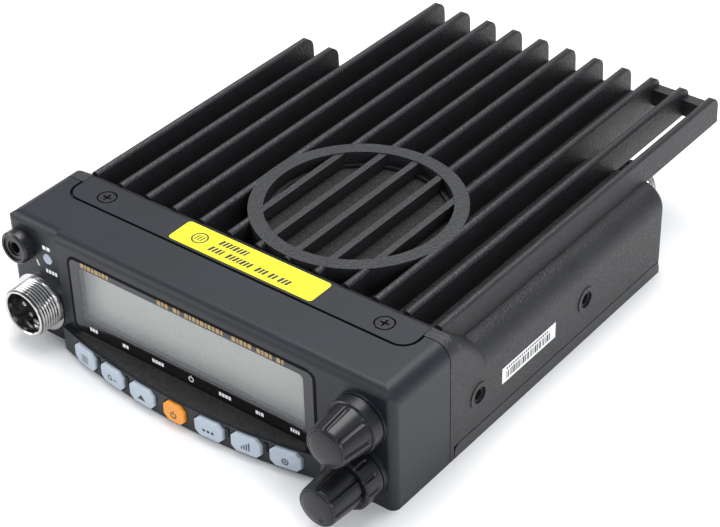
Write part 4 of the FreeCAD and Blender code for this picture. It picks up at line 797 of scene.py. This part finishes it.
led_low, led_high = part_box("tx_led_lens")
led_x = (led_low.x + led_high.x) / 2
led_z = (led_low.z + led_high.z) / 2
lamp_marks = word(led_x - 1.6 * mm, led_z + 3.7 * mm, 1.3 * mm, [1.3 * mm, 1.3 * mm], 0.35 * mm)
lamp_marks += word(led_x - 1.3 * mm, led_z - 4.4 * mm, 1.3 * mm, [0.9 * mm] * 4, 0.3 * mm)
lamp_marks += [bar(led_x - 4.0 * mm, led_z - 2.9 * mm, 0.7 * mm, 1.9 * mm, -0.8 * mm)]
laid_on("lamp_marks", lamp_marks, from_front, forward, shell, white_ink, "radio",
        ink=0.02 * mm)


# ---------------------------------------------------------------- microphone socket
# A nickel-plated panel socket with a machined thread, a dark insulator and a ring of round pins.
# Its nut pulls the flange onto the face.

dress(nickel, "mic_socket_shell", "mic_socket_nut", "mic_socket_pins", "mic_socket_key")
dress(dark_insulator, "mic_socket_insulator")
mic_x, mic_z, mic_flange, mic_front, mic_back = middle_of("mic_socket_shell")
jack_proud = 4.0 * mm
mic_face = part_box("data_jack_body")[0].y + jack_proud
mic_flange_front = mic_face - 1.0 * mm
mic_thread = 8.0 * mm
mic_bore = 6.6 * mm
mic_rim = 7.3 * mm
mic_lip = 0.3 * mm
mic_chamfer = mic_thread - mic_rim
mic_socket = turned("mic_socket", [
    (mic_bore, mic_front + mic_lip),
    (mic_bore + mic_lip, mic_front),
    (mic_rim, mic_front),
    (mic_thread, mic_front + mic_chamfer),
    (mic_thread, mic_flange_front),
    (mic_flange, mic_flange_front),
    (mic_flange, mic_face),
    (mic_thread, mic_face),
    (mic_thread, mic_back),
    (mic_bore, mic_back)], mic_x, mic_z, step=0.125 * mm)
cut_round(mic_socket, screw_thread, {
    "Middle X": mic_x, "Middle Z": mic_z, "Core radius": mic_bore + thread_clear, "Depth": 0.62 * mm,
    "Front": mic_front, "Back": mic_flange_front, "Fade": 0.5 * mm, "Pitch": 1.0 * mm,
    "Finish": thread_root_shade_finish})
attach(mic_socket, "radio")
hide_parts("mic_socket_shell")


# ---------------------------------------------------------------- rotary controls
# Steel encoder and potentiometer bodies on the front board carry plated shafts through the face.
# The knobs are satin black mouldings with scooped grips, and the squelch ring has shallow ribs.

control_steel = nickel_plate("control_steel", 0.5)
knob_black = surface_finish(
    "knob_black", [grey(0.006, 0.1), grey(0.01, 0.14)], patch=0.006, grain=0.00022, depth=0.00001,
    rough=(0.26, 0.36), Specular_IOR_Level=0.36)
dress(control_steel, "tuning_encoder", "dual_potentiometer")
dress(control_steel, "tuning_shaft", "squelch_shaft", "volume_shaft")
dress(knob_black, "tuning_knob", "volume_knob", "squelch_ring")


def scoop_depth(tree, given, turns, along):
    """Rounded grooves that run along the grip, a number of them round the piece."""
    groove_turns = math(tree, "MULTIPLY", turns, given["Grooves"])
    wave = math(tree, "COSINE", math(tree, "MULTIPLY", groove_turns, tau))
    return ramp_up(tree, wave, given["Land"], 1.0)


grip_grooves = round_cutter("grip_grooves", ["Grooves", "Land"], scoop_depth)


def knob_crown(front, edge):
    """The domed face of a knob, from its axis out to the edge radius."""
    shares_and_falls = [(0.0, 0.0), (0.4, 0.08), (0.66, 0.28), (0.84, 0.6), (0.87, 0.86), (0.91, 0.78),
                        (0.97, 0.95), (1.0, 1.35)]
    return [(edge * share, front + fall * mm) for share, fall in shares_and_falls]


knob_x, knob_z, skirt, knob_front, knob_back = middle_of("tuning_knob")
skirt_front = knob_back - 3.8 * mm
skirt_edge = 0.35 * mm
grip_foot = 7.4 * mm
grip_flare = 0.1 * mm
shaft_bore = 3.05 * mm
shaft_stop = 3.0 * mm
scoop_start = 0.9 * mm
scoop_fade = 0.7 * mm
knob_scoops = 8.0
scoop_land = 0.6
tuning_knob = turned("tuning_grip", knob_crown(knob_front, 6.3 * mm) + [
    (grip_foot, skirt_front - 3 * grip_flare),
    (grip_foot + grip_flare, skirt_front),
    (skirt - skirt_edge, skirt_front),
    (skirt, skirt_front + skirt_edge),
    (skirt, knob_back),
    (shaft_bore, knob_back),
    (shaft_bore, knob_front + shaft_stop),
    (0.0, knob_front + shaft_stop)], knob_x, knob_z, sides=192, step=0.35 * mm)
cut_round(tuning_knob, grip_grooves, {
    "Middle X": knob_x, "Middle Z": knob_z, "Core radius": 4.6 * mm, "Depth": 0.7 * mm,
    "Front": knob_front + scoop_start, "Back": skirt_front - grip_flare, "Fade": scoop_fade,
    "Grooves": knob_scoops, "Land": scoop_land, "Finish": knob_black})
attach(tuning_knob, "tuning_dial")
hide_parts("tuning_knob")

ring_x, ring_z, ring_radius, ring_front, ring_back = middle_of("squelch_ring")
ring_edge = 0.5 * mm
ring_band = 1.6 * mm
ring_ribs = 12.0
squelch_ring = turned("squelch_grip", [
    (shaft_bore, ring_front),
    (ring_radius - ring_edge, ring_front),
    (ring_radius, ring_front + ring_edge),
    (ring_radius, ring_back),
    (shaft_bore, ring_back)], ring_x, ring_z, sides=240, step=0.35 * mm)
cut_round(squelch_ring, grip_grooves, {
    "Middle X": ring_x, "Middle Z": ring_z, "Core radius": 6.0 * mm, "Depth": 0.45 * mm,
    "Front": ring_front - ring_edge, "Back": ring_back - ring_band, "Fade": ring_edge,
    "Grooves": ring_ribs, "Land": scoop_land, "Finish": knob_black})
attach(squelch_ring, "squelch_control")
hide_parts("squelch_ring")

volume_x, volume_z, volume_foot, volume_front, volume_back = middle_of("volume_knob")
inner_bore = 2.05 * mm
volume_knob = turned("volume_grip", knob_crown(volume_front, 6.0 * mm) + [
    (volume_foot, volume_back),
    (inner_bore, volume_back),
    (inner_bore, volume_front + shaft_stop),
    (0.0, volume_front + shaft_stop)], volume_x, volume_z, sides=192, step=0.35 * mm)
cut_round(volume_knob, grip_grooves, {
    "Middle X": volume_x, "Middle Z": volume_z, "Core radius": 4.4 * mm, "Depth": 0.6 * mm,
    "Front": volume_front + scoop_start, "Back": volume_back + 0.6 * mm, "Fade": scoop_fade,
    "Grooves": knob_scoops, "Land": scoop_land, "Finish": knob_black})
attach(volume_knob, "volume_control")
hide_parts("volume_knob")

pointer_turn = radians(-62)
pointer_reach = 3.6 * mm
pointer_x = volume_x + pointer_reach * cos(pointer_turn)
pointer_z = volume_z + pointer_reach * sin(pointer_turn)
# painted shade: a dark ring laid where the pointer dimple on the volume knob holds shade
pointer_dimple_shade = ring(pointer_x, pointer_z, 0.62 * mm, 0.4 * mm)


def surface_of_piece(piece):
    """The surface of a piece made here, for laying marks on it."""
    return BVHTree.FromPolygons([vertex.co for vertex in piece.data.vertices],
                                [list(face.vertices) for face in piece.data.polygons])


laid_on("volume_pointer_dimple_shade", pointer_dimple_shade, from_front, forward, surface_of_piece(volume_knob), shadow_and_print_black,
        "volume_control", ink=0.03 * mm)


# ---------------------------------------------------------------- clamp screws and labels
# Two black cross-head screws hold the clamp plate across the seam.
# A yellow vinyl label lies on the plate and a white one on the side, with plain block marks.

dress(black_screw, "head_clamp_screws")
label_yellow = surface_finish(
    "label_yellow", [(0.8, 0.72, 0.01), (0.86, 0.78, 0.015)], patch=0.01, grain=0.0004, depth=0.000004,
    rough=(0.3, 0.4))
label_white = surface_finish(
    "label_white", [grey(0.8), grey(0.88)], patch=0.01, grain=0.0004, depth=0.000004, rough=(0.4, 0.5))
dress(label_yellow, "top_label")
dress(label_white, "side_label")

top_low, top_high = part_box("top_label")
top_middle = (top_low.y + top_high.y) / 2
top_left = top_low.x


def from_label_top(across, along):
    """A point well above the yellow label."""
    return Vector((across, along, top_high.z + 5.0 * mm))


top_marks = ring(top_left + 8.0 * mm, top_middle, 2.6 * mm, 2.1 * mm)
top_marks += [bar(top_left + (8.0 + across) * mm, top_middle, 0.45 * mm, 2.4 * mm, 0.4 * mm)
              for across in (-1.2, -0.2, 0.8)]
block_rhythm = [1.0 * mm, 0.8 * mm, 0.9 * mm, 0.7 * mm]
row_height = 2.3 * mm
row_gap = 0.42 * mm
lean = 0.5 * mm
top_marks += word(top_left + 14.0 * mm, top_middle + 1.9 * mm, row_height, block_rhythm * 2, row_gap, lean)
second_row = [(13.2, 4), (19.6, 7), (30.2, 3), (35.0, 2), (38.4, 3)]
for start, count in second_row:
    widths = (block_rhythm * 2)[:count]
    top_marks += word(top_left + start * mm, top_middle - 1.9 * mm, row_height, widths, row_gap, lean)
laid_on("top_label_marks", top_marks, from_label_top, down, surface_of("top_label"), sign_ink, "radio",
        ink=0.015 * mm)

side_low, side_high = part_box("side_label")
leftward = Vector((-1, 0, 0))


def from_right(along, up):
    """A point well out from the right side."""
    return Vector((side_high.x + 5.0 * mm, along, up))


side_front = side_low.y + 2.0 * mm
side_middle = (side_low.z + side_high.z) / 2
side_marks = []
stroke = 0.0
stroke_end = 21.5
stroke_height = 2.6 * mm
while stroke < stroke_end:
    width = 0.3 + 0.25 * (int(stroke * 7) % 3)
    along = side_front + (stroke + width / 2) * mm
    side_marks.append(bar(along, side_middle - 0.5 * mm, width * mm, stroke_height))
    stroke += width + 0.35 + 0.2 * (int(stroke * 5) % 2)
side_marks += word(side_front, side_middle + 1.7 * mm, 0.7 * mm, [0.7 * mm] * 20, 0.35 * mm)
laid_on("side_label_marks", side_marks, from_right, leftward, surface_of("side_label"), sign_ink, "radio",
        ink=0.015 * mm)
